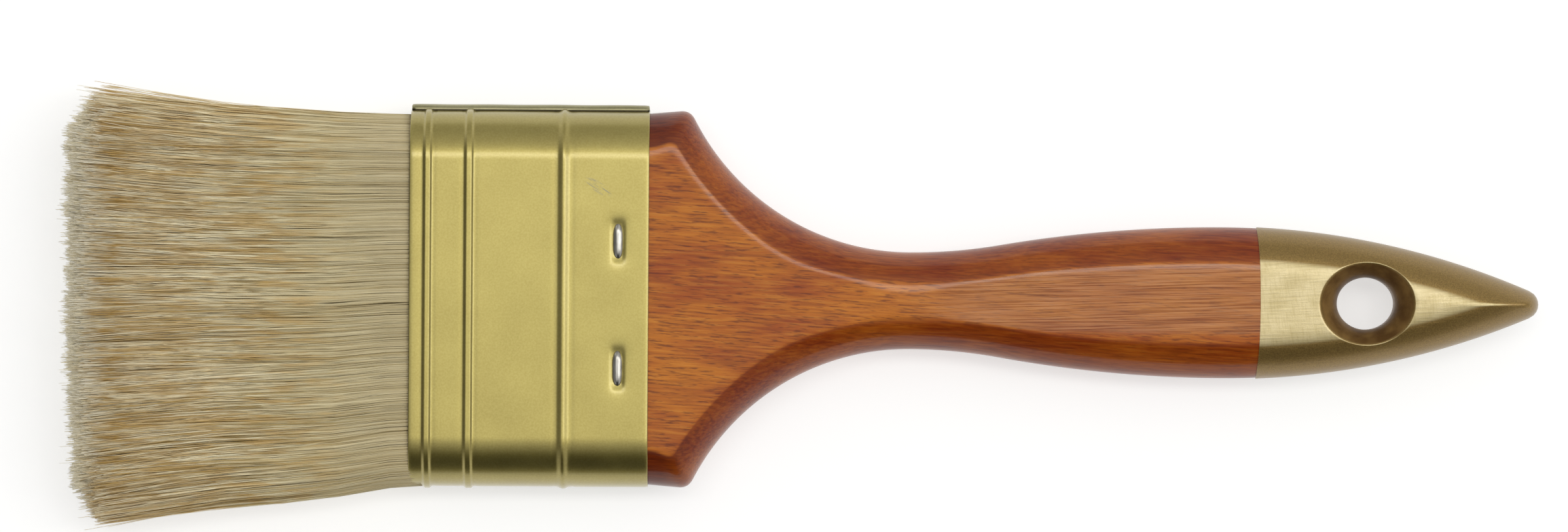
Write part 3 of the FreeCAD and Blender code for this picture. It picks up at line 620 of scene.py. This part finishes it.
# %% Lacquered end
def lacquered_end():
    """Points (places along the ray's loop, rays). The wall widens by t^1.5, t up the countersink."""
    corner = math.atan2(BELLY_HALF - 0.1, DIP_X - HOLE_X)
    turn = np.linspace(-np.pi, np.pi, 300, endpoint=False)
    turn = np.sort(np.concatenate([turn, [corner, corner + 0.004, -corner, -corner - 0.004]]))[None, :]
    run, rise = np.cos(turn), np.sin(turn)

    def inside(t):
        x, y = HOLE_X + t * run, t * rise
        dip = DIP_X - 0.5 * (y / BELLY_HALF) ** 2
        return np.minimum(inward(x, y) + LACQUER, x - dip)

    edge = edge_of(inside, 0 * turn + 5.0, 0 * turn + 40.0)
    bore = 1 / np.hypot(run / BORE_ALONG, rise / BORE_ACROSS)
    rim = 1 / np.hypot(run / RIM_ALONG, rise / RIM_ACROSS)
    share = np.linspace(0, 1, 70)[:, None] ** 1.8
    reach = edge + (rim + 0.12 - edge) * share
    top = wood_height(HOLE_X + reach * run, reach * rise, LACQUER)
    brink = wood_height(HOLE_X + rim * run, rim * rise, LACQUER)
    up = np.array([0.985, 0.93, 0.8, 0.65, 0.5, 0.35, 0.2, 0.08, 0.0])[:, None]
    wall_z = BORE_HALF + (brink - BORE_HALF) * up
    wall = bore + (rim - bore) * up ** 1.5
    land = np.array([0.3, -0.3])[:, None] * BORE_HALF + 0 * turn
    reach = np.concatenate([reach, wall, bore + 0 * land, wall[::-1], reach[::-1]])
    height = np.concatenate([top, wall_z, land, -wall_z[::-1], -top[::-1]])
    return to_brush(HOLE_X + reach * run, reach * rise, height)


finish(ring_surface("handle_lacquered_end", lacquered_end()), "gold_lacquer", "brush", "dip_coat")

# %% [markdown]
# ## Ferrule
# The ferrule is a strip of tinplate bent round a former, with beads rolled in and its ends locked in a
# seam along one edge. The staples press shallow dents as they pull down. The shell is one closed sheet:
# its section from mouth to rear is carried round the oval, outside and inside, with the beads and dents as
# small offsets along the oval's normal.

# %% The oval and the sheet's relief
# Each bead in mm: its place from the mouth, its width and its height. Then the share of it that is level.
BEADS = ((2.8, 1.5, 0.3, 0.4), (9.3, 1.6, 0.3, 0.4), (24.2, 2.1, 0.32, 0.0))
STAPLES = [name for name in sorted(frame["nodes"]) if name.startswith("staple_")]


def oval(columns_flat=150, columns_round=64):
    """Middle line (-1 to 1) and outward normal, once round a band of two flats joined by half-rounds."""
    flat = np.linspace(1, -1, columns_flat, endpoint=False)
    turn = np.linspace(0, np.pi, columns_round, endpoint=False)
    middle = np.concatenate([flat, 0 * turn - 1, -flat, 0 * turn + 1])
    angle = np.pi / 2 + np.concatenate([0 * flat, turn, 0 * flat + np.pi, turn + np.pi])
    return middle, np.cos(angle), np.sin(angle)


def staple_places():
    """X, Y and face (+1 up, -1 down) of the middle of each staple's crown."""
    places = []
    for name in STAPLES:
        low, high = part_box(name)
        face = 1 if (low.z + high.z) / 2 > MID_Z else -1
        places.append(((low.x + high.x) / 2, (low.y + high.y) / 2, face))
    return places


def sheet_relief(x, y, normal_z):
    """How far the sheet stands proud of the oval at x, y: beads up, staple dents down, and a faint wander.

    A bead is half a cosine wave up, a level top and half a wave down, with a shallow trough on each side.
    A dent is a wide shallow bell with a steep-sided slot in it, where the wire has cut in.
    """
    relief = np.zeros(np.broadcast(x, y).shape)
    for place, width, height, level in BEADS:
        t = (x - MOUTH_X - place * MM) / (width * MM / 2)
        crest = 0.5 + 0.5 * np.cos(np.pi * np.clip((np.abs(t) - level) / (1 - level), 0, 1))
        relief = relief + height * MM * (crest - 0.12 * np.exp(-(np.abs(t) - 1.35) ** 2 / 0.12))
    for staple_x, staple_y, face in staple_places():
        here = np.where(normal_z * face > 0.5, 1.0, 0.0)
        run, across = (x - staple_x) / MM, (y - staple_y) / MM
        shallow = np.exp(-(run / 1.5) ** 2 - (across / 3.5) ** 4)
        slot = np.exp(-np.abs(run / 1.0) ** 4 - np.abs(across / 3.15) ** 8)
        relief = relief - here * MM * (0.15 * shallow + 0.2 * slot)
    wander = np.sin(x * 190 + 1.3) * np.sin(y * 130 + 0.4) + 0.6 * np.sin(x * 420 + y * 310)
    return relief + 0.012 * MM * wander


def ferrule_shell():
    """Points (rows, columns, 3) of the sheet: outside from mouth to rear, then back along the inside."""
    middle, normal_y, normal_z = oval()
    zones = [(MOUTH_X + place * MM, width * MM) for place, width, _, _ in BEADS]
    zones += [(MOUTH_X, 0.5 * MM), (REAR_X, 0.5 * MM), (staple_places()[0][0], 2.2 * MM)]
    outside = spread(MOUTH_X, REAR_X, 0.34 * MM, zones)
    inside = spread(MOUTH_X, REAR_X, 2.0 * MM)[::-1]
    x = np.concatenate([outside, inside])[:, None]
    is_inside = np.concatenate([np.zeros(outside.size), np.ones(inside.size)])[:, None]
    y_line = INNER_FLAT * middle[None, :]
    relief = sheet_relief(x, y_line + OUTER_RADIUS * normal_y, normal_z[None, :])
    edge = np.minimum(x - MOUTH_X, REAR_X - x)
    curl = 0.08 * MM * np.exp(-(edge / (0.3 * MM)) ** 2)
    radius = OUTER_RADIUS + relief - curl * (1 - is_inside) - GAUGE * is_inside * 0.98
    radius = np.where(is_inside > 0, np.minimum(radius, INNER_RADIUS + 0.34 * MM), radius)
    return points_from(x, y_line + radius * normal_y, MID_Z + radius * normal_z)


finish(ring_surface("ferrule_sheet", ferrule_shell()), "plated_sheet", "brush", "ferrule")

# %% [markdown]
# ### Seam
# The strip's two ends are hooked together and hammered flat, which leaves a thin double lip along one edge.
# Its section is a flattened loop with one step, carried straight from mouth to rear.

# %% Seam
def seam_strip():
    """Points (rows, columns, 3) of the folded seam: a rounded section carried along X and closed at its ends.

    The section is the curve |u|^2.5 + |v|^2.5 = 1, scaled to the lip's height and width, with a step in it.
    """
    angle = np.linspace(0, 2 * np.pi, 48, endpoint=False)
    u = np.sign(np.cos(angle)) * np.abs(np.cos(angle)) ** 0.8
    v = np.sign(np.sin(angle)) * np.abs(np.sin(angle)) ** 0.8
    out = np.where(v > -0.35, 1.0, 0.62)
    half_lip, half_fold = 0.9 * MM, 1.55 * MM
    length = np.concatenate([[0.0, 0.002, 0.006], np.linspace(0.02, 0.98, 60), [0.994, 0.998, 1.0]])
    size = np.concatenate([[0.0, 0.8, 0.96], np.ones(60), [0.96, 0.8, 0.0]])
    x = MOUTH_X + FERRULE_LENGTH * length
    wave = 0.02 * MM * np.sin(x * 600)
    y = ferrule_high.y - half_lip + wave[:, None] + size[:, None] * (half_lip * out * u)[None, :]
    z = MID_Z + size[:, None] * (half_fold * v)[None, :]
    return points_from(x[:, None], y, z)


finish(tube_surface("ferrule_seam", seam_strip()), "plated_sheet", "brush", material=SEAM_SHEET)

# %% [markdown]
# ### Staples
# Each staple is a length of wire: a short crown that lies in its dent, two bends and two legs in the wood.
# A flattened round section is carried along that path, which is a bracket with rounded corners.

# %% Staples
def staple_wire(staple_x, staple_y, face):
    """Points of one staple: an oval section carried along a bracket with rounded corners.

    The crown drops by 0.9 (1 - (1 - |t|^7)^0.45) mm, t from -1 to 1 along it, so it is flat in the middle
    and turns down at both ends, where it is also slimmer. The legs go straight on into the wood.
    """
    half, leg = 2.45 * MM, 5.5 * MM
    bend = np.sin(np.linspace(-1, 1, 41) * np.pi / 2)
    across = np.concatenate([[-half] * 5, half * bend, [half] * 5])
    drop = 0.9 * MM * (1 - (1 - np.abs(bend) ** 7) ** 0.45)
    legs = np.linspace(leg, 1.3 * MM, 5)
    down = np.concatenate([legs, drop, legs[::-1]])
    rise, run = np.gradient(-down), np.gradient(across)
    normal = np.stack([-rise, run], -1) / (np.hypot(run, rise) + 1e-12)[:, None]
    angle = np.linspace(0, 2 * np.pi, 24, endpoint=False)
    wide, thick, proud = 0.84 * MM, 0.62 * MM, 0.28 * MM
    grow = np.concatenate([[0.0, 0.7], np.ones(across.size - 4), [0.7, 0.0]])[:, None]
    top = OUTER_RADIUS - thick + proud
    slim = np.concatenate([[0.6] * 5, 1 - 0.4 * np.abs(bend) ** 4, [0.6] * 5])[:, None]
    x = staple_x + grow * slim * wide * np.cos(angle)[None, :]
    y = staple_y + across[:, None] + grow * thick * np.sin(angle)[None, :] * normal[:, :1]
    z = MID_Z + face * (top - down[:, None] + grow * thick * np.sin(angle)[None, :] * normal[:, 1:])
    return points_from(x, y, z)


for name, place in zip(STAPLES, staple_places()):
    finish(tube_surface(f"{name}_wire", staple_wire(*place)), "wire", "brush", name)

# %% [markdown]
# ## Bristles
# A tuft is thousands of hairs, packed side by side, that flare a little and end unevenly. Hair particles
# would not export, and one carved block would never show tips or shadows between the hairs. So each hair is
# a thin three-sided tube that tapers to a point. Long hairs fill a coat a few millimetres deep all round.
# Short ones fill the middle where only the tips show, over a solid core.

# %% The tuft's section
ROOT_INSET = 3.5 * MM  # how far inside the ferrule the hairs start
COAT_DEPTH, MIDDLE_INSET = 2.6 * MM, 2.2 * MM  # the long hairs' coat, and where the short ones begin
FLARE, ABOVE_TABLE = 4.05 * MM, 0.15 * MM
GAP_Y = -0.9 * MM  # where the hairs part a little at the mouth
LONG_HAIRS, SHORT_HAIRS = 4600, 5400  # in each of the four pieces of either kind
CROSSING, WILD = 0.13, 0.03  # shares of the long hairs
SMALL_LOCK, LARGE_LOCK = 1.5 * MM, 5.2 * MM
CELLS = 5000  # more than there are locks
CROWD = 1.15  # a power that brings the hairs' stations closer together near the root
ROOT_RADIUS = INNER_RADIUS - 0.12 * MM
ROUND_LENGTH = 4 * INNER_FLAT + 2 * np.pi * ROOT_RADIUS
print(f"the tuft is {ROUND_LENGTH / MM:.0f} mm round at the mouth")


def tuft_section(e):
    """Half length of the flats, radius of the rounded edges and sideways shift, e from 0 (mouth) to 1 (tip).

    The half width grows by 0.75 e + 0.25 e^2 of the flare, and bulges a little past the mouth. The
    thickness swells midway, and the whole tuft leans a little towards -Y, more towards the tips.
    """
    growth = 0.75 * e + 0.25 * e * e
    bulge = 0.4 * MM * smooth(e, -0.04, 0.2) * (1 - smooth(e, 0.3, 0.6))
    half_width = INNER_FLAT + ROOT_RADIUS + bulge + FLARE * growth
    radius = ROOT_RADIUS + 0.5 * MM * np.sin(np.pi * np.clip(e, 0, 1) * 0.85)
    return half_width - radius, radius, -MM * (0.3 + 0.85 * smooth(e, -0.06, 0.3) + 0.9 * growth)


def round_the_tuft(w):
    """Middle line (-1 to 1) and outward normal at a share w (0 to 1) of the way round the root section.

    Each half of the way is a flat and then a half-round, first over the top and then underneath.
    """
    flat, half = 2 * INNER_FLAT, ROUND_LENGTH / 2
    length = (w % 1) * ROUND_LENGTH
    face = np.where(length < half, 1.0, -1.0)
    length = length % half
    middle = face * (1 - 2 * np.minimum(length, flat) / flat)
    angle = np.pi / 2 * (2 - face) + np.clip(length - flat, 0, None) / ROOT_RADIUS
    return middle, np.cos(angle), np.sin(angle)


def tip_line(y_share):
    """How much shorter the bristles are across the tuft: rounded corners and a slight slope."""
    corner = np.clip((np.abs(y_share) - 0.84) / 0.16, 0, 1.2)
    return (2.7 * corner ** 2 + 1.0 * smooth(-y_share, 0.1, 0.8)) * MM


def gather(value, size, seed):
    """The step from each value to the jittered middle of its cell, and the cell's number."""
    cell = np.floor(value / size).astype(int)
    jitter = np.random.default_rng(seed).uniform(-0.35, 0.35, CELLS)[cell % CELLS]
    return (cell + 0.5 + jitter) * size - value, cell


def cell_values(cell, seed):
    """A number for each cell, the same for all its hairs, about 0 and mostly between -1 and 1."""
    return np.random.default_rng(seed).normal(0, 1, CELLS)[cell % CELLS]


# %% [markdown]
# Hairs near one another lean together towards the tips, and leave dark clefts between the locks. Each hair
# is pulled towards the middle of a small cell and of a larger one, more and more along its length. A slow
# wave of its own keeps it from being straight.

# %% Hairs
def hair_tubes(name, centre, radius, tone, along):
    """Three-sided tubes about centre lines (hairs, stations, 3), closed to a point at both ends."""
    hairs, stations = centre.shape[:2]
    turn = rng.uniform(0, 2 * np.pi, hairs)[:, None, None] + np.arange(3) * 2 * np.pi / 3
    ring = points_from(0, np.cos(turn), np.sin(turn))
    rings = centre[:, :, None, :] + radius[:, :, None, None] * ring
    points = np.concatenate([centre[:, :1], rings.reshape(hairs, -1, 3), centre[:, -1:]], 1)
    points[:, -1, 0] -= 0.25 * MM
    per_hair = points.shape[1]
    corners = tube_corners(stations, 3) + per_hair * np.arange(hairs)[:, None, None]
    tone_all = np.repeat(tone, per_hair)
    along_all = np.concatenate([along[:, :1], np.repeat(along, 3, 1), along[:, -1:]], 1)
    return mesh_from(name, points.reshape(-1, 3), corners, 3, tone=tone_all, along=along_all)


def stray(hairs, stations, size):
    """A slow wave of each hair's own, nought at the root, (hairs, stations)."""
    q = np.linspace(0, 1, stations)[None, :] ** CROWD
    phase, rate = rng.uniform(0, 2 * np.pi, (2, hairs, 1))
    return size * q * (np.sin(phase + q * (1.5 + 0.5 * rate)) - np.sin(phase))


def long_hairs(count, w_low, w_high, stations=7):
    """Centre lines, radii, tones and places along, for hairs that start in the ferrule.

    w is the share round the section, and depth how far below the surface of the tuft the hair lies. A few
    hairs near the surface cross the others towards the tips, and fewer still are wild and longer.
    """
    w = rng.uniform(w_low, w_high, count)
    crossing = rng.uniform(0, 1, count) < CROSSING
    depth = COAT_DEPTH * rng.uniform(0, 1, count) ** 1.15 * np.where(crossing, 0.12, 1.0)
    arc = w * ROUND_LENGTH
    near, near_cell = gather(arc, SMALL_LOCK, 11)
    far, far_cell = gather(arc, LARGE_LOCK, 12)
    q = np.linspace(0, 1, stations)[None, :] ** CROWD
    middle, _, _ = round_the_tuft(w)
    out_share = np.abs(middle) * INNER_FLAT / (INNER_FLAT + ROOT_RADIUS)
    y_share = np.sign(middle) * np.where(np.abs(middle) < 1, out_share, 0.97)
    length = FREE_LENGTH - tip_line(y_share) - 1.9 * MM * (1 - depth / COAT_DEPTH) ** 1.5
    length = length + MM * (0.7 * rng.normal(0, 1, count) + 0.4 * cell_values(near_cell, 21) - 1.3)
    wild = rng.uniform(0, 1, count) < WILD
    length = np.minimum(length + wild * rng.uniform(0, 2.2, count) * MM, FREE_LENGTH + 0.8 * MM)
    x = MOUTH_X + ROOT_INSET - q * (length + ROOT_INSET)[:, None]
    e = np.clip((MOUTH_X - x) / FREE_LENGTH, 0, 1.1)
    pull = 0.42 * e ** 1.1
    moved = (arc[:, None] + pull * near[:, None] + 0.45 * pull * far[:, None]) / ROUND_LENGTH
    line, normal_y, normal_z = round_the_tuft(moved)
    flat, radius, shift = tuft_section(e)
    lift = 0.33 * cell_values(near_cell, 22) + 0.3 * cell_values(far_cell, 23)
    lift = np.minimum(lift[:, None] * e, 0.5) * MM
    lift = lift + wild[:, None] * e ** 2 * rng.uniform(-0.2, 1.6, (count, 1)) * MM
    reach = radius - depth[:, None] + lift - 0.05 * MM
    y = flat * line + reach * normal_y + shift + stray(count, stations, 0.62 * MM)
    z = reach * normal_z + stray(count, stations, 0.25 * MM)
    z = np.maximum(z, ABOVE_TABLE - MID_Z + 0.3 * depth[:, None])
    across = wild[:, None] * e ** 2 + crossing[:, None] * 1.9 * smooth(e, 0.35, 1.1)
    y = y + across * rng.uniform(-1.1, 1.1, (count, 1)) * MM
    gap = y - GAP_Y
    y = y + np.sign(gap) * 0.2 * MM * np.exp(-np.abs(gap) / (0.4 * MM)) * np.exp(-(e / 0.28) ** 2)
    centre = points_from(x, y, MID_Z + z)
    thick = rng.uniform(0.085, 0.12, (count, 1)) * MM * (1 - 0.6 * q)
    tone = 0.56 + 0.36 * rng.normal(0, 1, count) + 0.05 * cell_values(near_cell, 31)
    # Painted shade: hairs that lie deeper in the coat get a darker tone.
    tone = tone + 0.05 * cell_values(far_cell, 32) - 0.15 * (depth / COAT_DEPTH) + 0.2 * crossing
    return centre, thick, np.clip(tone, 0, 1), np.clip(e, 0, 1)


def short_hairs(count, face, side, stations=4):
    """The same for hairs in the middle of the tuft, of which only the last stretch is made."""
    half_y, half_z = INNER_FLAT + ROOT_RADIUS - MIDDLE_INSET, ROOT_RADIUS - MIDDLE_INSET
    y0 = side * rng.uniform(0, half_y, count)
    z0 = face * rng.uniform(0.0, 1.0, count) * half_z
    limit = np.sqrt(np.clip(1 - np.clip((np.abs(y0) - INNER_FLAT) / half_z, 0, 1) ** 2, 0.02, 1))
    z0 = z0 * limit
    from_y, cell_y = gather(y0, 2.1 * MM, 41)
    from_z, cell_z = gather(z0, 1.9 * MM, 42)
    cell = cell_y * 13 + cell_z
    length = FREE_LENGTH - tip_line(y0 / half_y) + MM * (
        0.7 * rng.normal(0, 1, count) + 0.5 * cell_values(cell, 43) - 1.3)
    q = np.linspace(0, 1, stations)[None, :]
    hidden = FREE_LENGTH * 0.74
    x = MOUTH_X - hidden - q * (length - hidden)[:, None]
    e = np.clip((MOUTH_X - x) / FREE_LENGTH, 0, 1.1)
    flat, radius, shift = tuft_section(e)
    y = (y0 / half_y)[:, None] * (flat + radius - MIDDLE_INSET) + shift
    y = y + q * 0.4 * from_y[:, None] + stray(count, stations, 0.35 * MM)
    z = z0[:, None] + q * 0.35 * from_z[:, None] + stray(count, stations, 0.3 * MM)
    centre = points_from(x, y, MID_Z + z)
    thick = rng.uniform(0.08, 0.11, (count, 1)) * MM * (1 - 0.4 * q ** 2)
    tone = np.clip(0.68 + 0.25 * rng.normal(0, 1, count) + 0.07 * cell_values(cell, 44), 0, 1)
    return centre, thick, tone, np.clip(e, 0, 1)


QUARTERS = ("top_left", "top_right", "bottom_right", "bottom_left")  # in order round the tuft
EDGE_SHARE = np.pi * ROOT_RADIUS / ROUND_LENGTH
tuft_pieces = []
for k, name in enumerate(QUARTERS):
    low = k / 4 - EDGE_SHARE / 2
    tuft_pieces.append(hair_tubes(f"bristle_coat_{name}", *long_hairs(LONG_HAIRS, low, low + 0.25)))
for name in QUARTERS:
    face, side = (1 if "top" in name else -1), (1 if "left" in name else -1)
    tuft_pieces.append(hair_tubes(f"bristle_middle_{name}", *short_hairs(SHORT_HAIRS, face, side)))

# %% [markdown]
# ### The core
# Under the coat the hairs are packed too close to tell apart, so a solid stands for them. It follows the
# same section, a little smaller, and stops where the short hairs have already begun.

# %% Core
def tuft_core():
    """The tuft's section less an inset, carried along its length and shrunk to a point at both ends."""
    middle, normal_y, normal_z = round_the_tuft(np.linspace(0, 1, 120, endpoint=False))
    e = np.concatenate([[-0.08, -0.08], np.linspace(-0.06, 0.84, 24), [0.88, 0.88]])
    size = np.concatenate([[0.0, 0.97], np.ones(24), [0.9, 0.0]])
    flat, radius, shift = tuft_section(np.clip(e, 0, 1))
    inset = 0.8 * MM + 1.9 * MM * np.clip(e, 0, 1)
    y = size[:, None] * (flat[:, None] * middle + (radius - inset)[:, None] * normal_y) + shift[:, None]
    z = MID_Z + size[:, None] * (radius - inset)[:, None] * normal_z
    return points_from((MOUTH_X - e * FREE_LENGTH)[:, None], y, z)


core = tube_surface("bristle_core", tuft_core())
for piece in tuft_pieces + [core]:
    finish(piece, "bristle", None, material=INNER_BRISTLE if piece is core else None)
    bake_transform(piece)
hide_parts("bristles_top")
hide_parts("bristles_bottom")

# %% [markdown]
# ## Floor
# A catalogue shows such a brush from straight above, on a lit white table. The table glows a little, so
# shadows stay faint.

# %% Floor
def table_top(size=6.0):
    """A flat square sheet at the height on which the brush rests, 2 x size wide."""
    mesh = bpy.data.meshes.new("table_top")
    places = [(x, y, 0) for x, y in ((-size, -size), (size, -size), (size, size), (-size, size))]
    mesh.from_pydata(places, [], [(0, 1, 2, 3)])
    material, _, _ = new_material(
        "white_table", Roughness=0.9, Specular_IOR_Level=0.1, Base_Color=paint("#c4c4c2"),
        Emission_Color=(1, 1, 1, 1), Emission_Strength=0.58)
    mesh.materials.append(material)
    place_in_scene("table_top", mesh)


table_top()

# %% [markdown]
# ## Light
# The light is broad and soft. The sky is a dome that is bright overhead, with dark boards along one side and
# beyond both ends, which the rounded edges and the beads mirror as dark lines. The key light is a soft panel
# on the other side, which draws the bright line along the ferrule's edge, and a weaker panel lights the
# handle's end.

# %% Light
def dome():
    """The sky: even overhead, with dark boards low down along the -Y side and beyond both ends."""
    world = bpy.data.worlds.new("studio")
    bpy.context.scene.world = world
    world.use_nodes = True
    tree = world.node_tree
    direction = add(tree, "TexCoord", output="Generated")

    def level(axis, *stops):
        """Grey levels by how far the direction points along an axis, from -1 to 1."""
        along = add(tree, "SeparateXYZ", {0: direction}, output=axis)
        share = add(tree, "MapRange", {"Value": along, "From Min": -1, "From Max": 1})
        return add(tree, "ValToRGB", {0: share}, [((place + 1) / 2, grey) for place, grey in stops])

    window = ((-0.75, 0.1), (-0.3, 1), (0.3, 1), (0.75, 0.1))
    side = level("Y", (-1, 0.95), (-0.65, 0.97), (-0.45, 0.6), (-0.15, 0.08), (0, 0), (0.35, 0), (0.7, 0.25),
                 (1, 0.5))
    ends = level("X", (-1, 0.8), (-0.6, 0.7), (-0.2, 0.05), (0, 0), (0.3, 0), (0.7, 0.2), (1, 0.5))
    side = times(tree, side, level("X", *window))
    ends = times(tree, ends, level("Y", *window))
    shade = add(tree, "Math", {0: side, 1: ends}, operation="ADD")
    light = add(tree, "Math", {0: 1.0, 1: shade}, operation="SUBTRACT", use_clamp=True)
    background = tree.nodes["Background"]
    background.inputs["Color"].default_value = (1, 1, 1, 1)
    tree.links.new(light, background.inputs["Strength"])


def panel(name, place, width, height, power):
    """A soft rectangular light that faces the brush."""
    data = bpy.data.lights.new(name, "AREA")
    data.shape = "RECTANGLE"
    data.size, data.size_y, data.energy = width, height, power
    light = place_in_scene(name, data)
    light.location = place
    light.rotation_euler = (-Vector(place)).to_track_quat("-Z", "Y").to_euler()
    print(f"{name}: {width} x {height} m, {power} W")


dome()
panel("key_panel", (0.0, 0.28, 1.5), 1.2, 0.24, 4.0)
panel("fill_panel", (0.75, 0.1, 1.1), 0.25, 0.8, 2.6)

# %% [markdown]
# ## Camera
# The camera looks straight down from high above with a long lens, so the brush shows with almost no
# perspective. It is turned a third of a degree, and the brush lies a little below the middle of the frame.

# %% Camera
VIEW_WIDTH, VIEW_HEIGHT = 247.5 * MM, 1.5
camera_data = bpy.data.cameras.new("overhead_camera")
camera_data.lens = camera_data.sensor_width * VIEW_HEIGHT / VIEW_WIDTH
camera = place_in_scene("overhead_camera", camera_data)
camera.location = (-3.1 * MM, 5.36 * MM, MID_Z + VIEW_HEIGHT)
camera.rotation_euler = (0, 0, math.radians(0.366))
bpy.context.scene.camera = camera
bpy.context.scene.view_settings.view_transform = "Standard"
print(f"the view is {VIEW_WIDTH / MM:.1f} mm wide, through a lens of {camera_data.lens:.0f} mm")
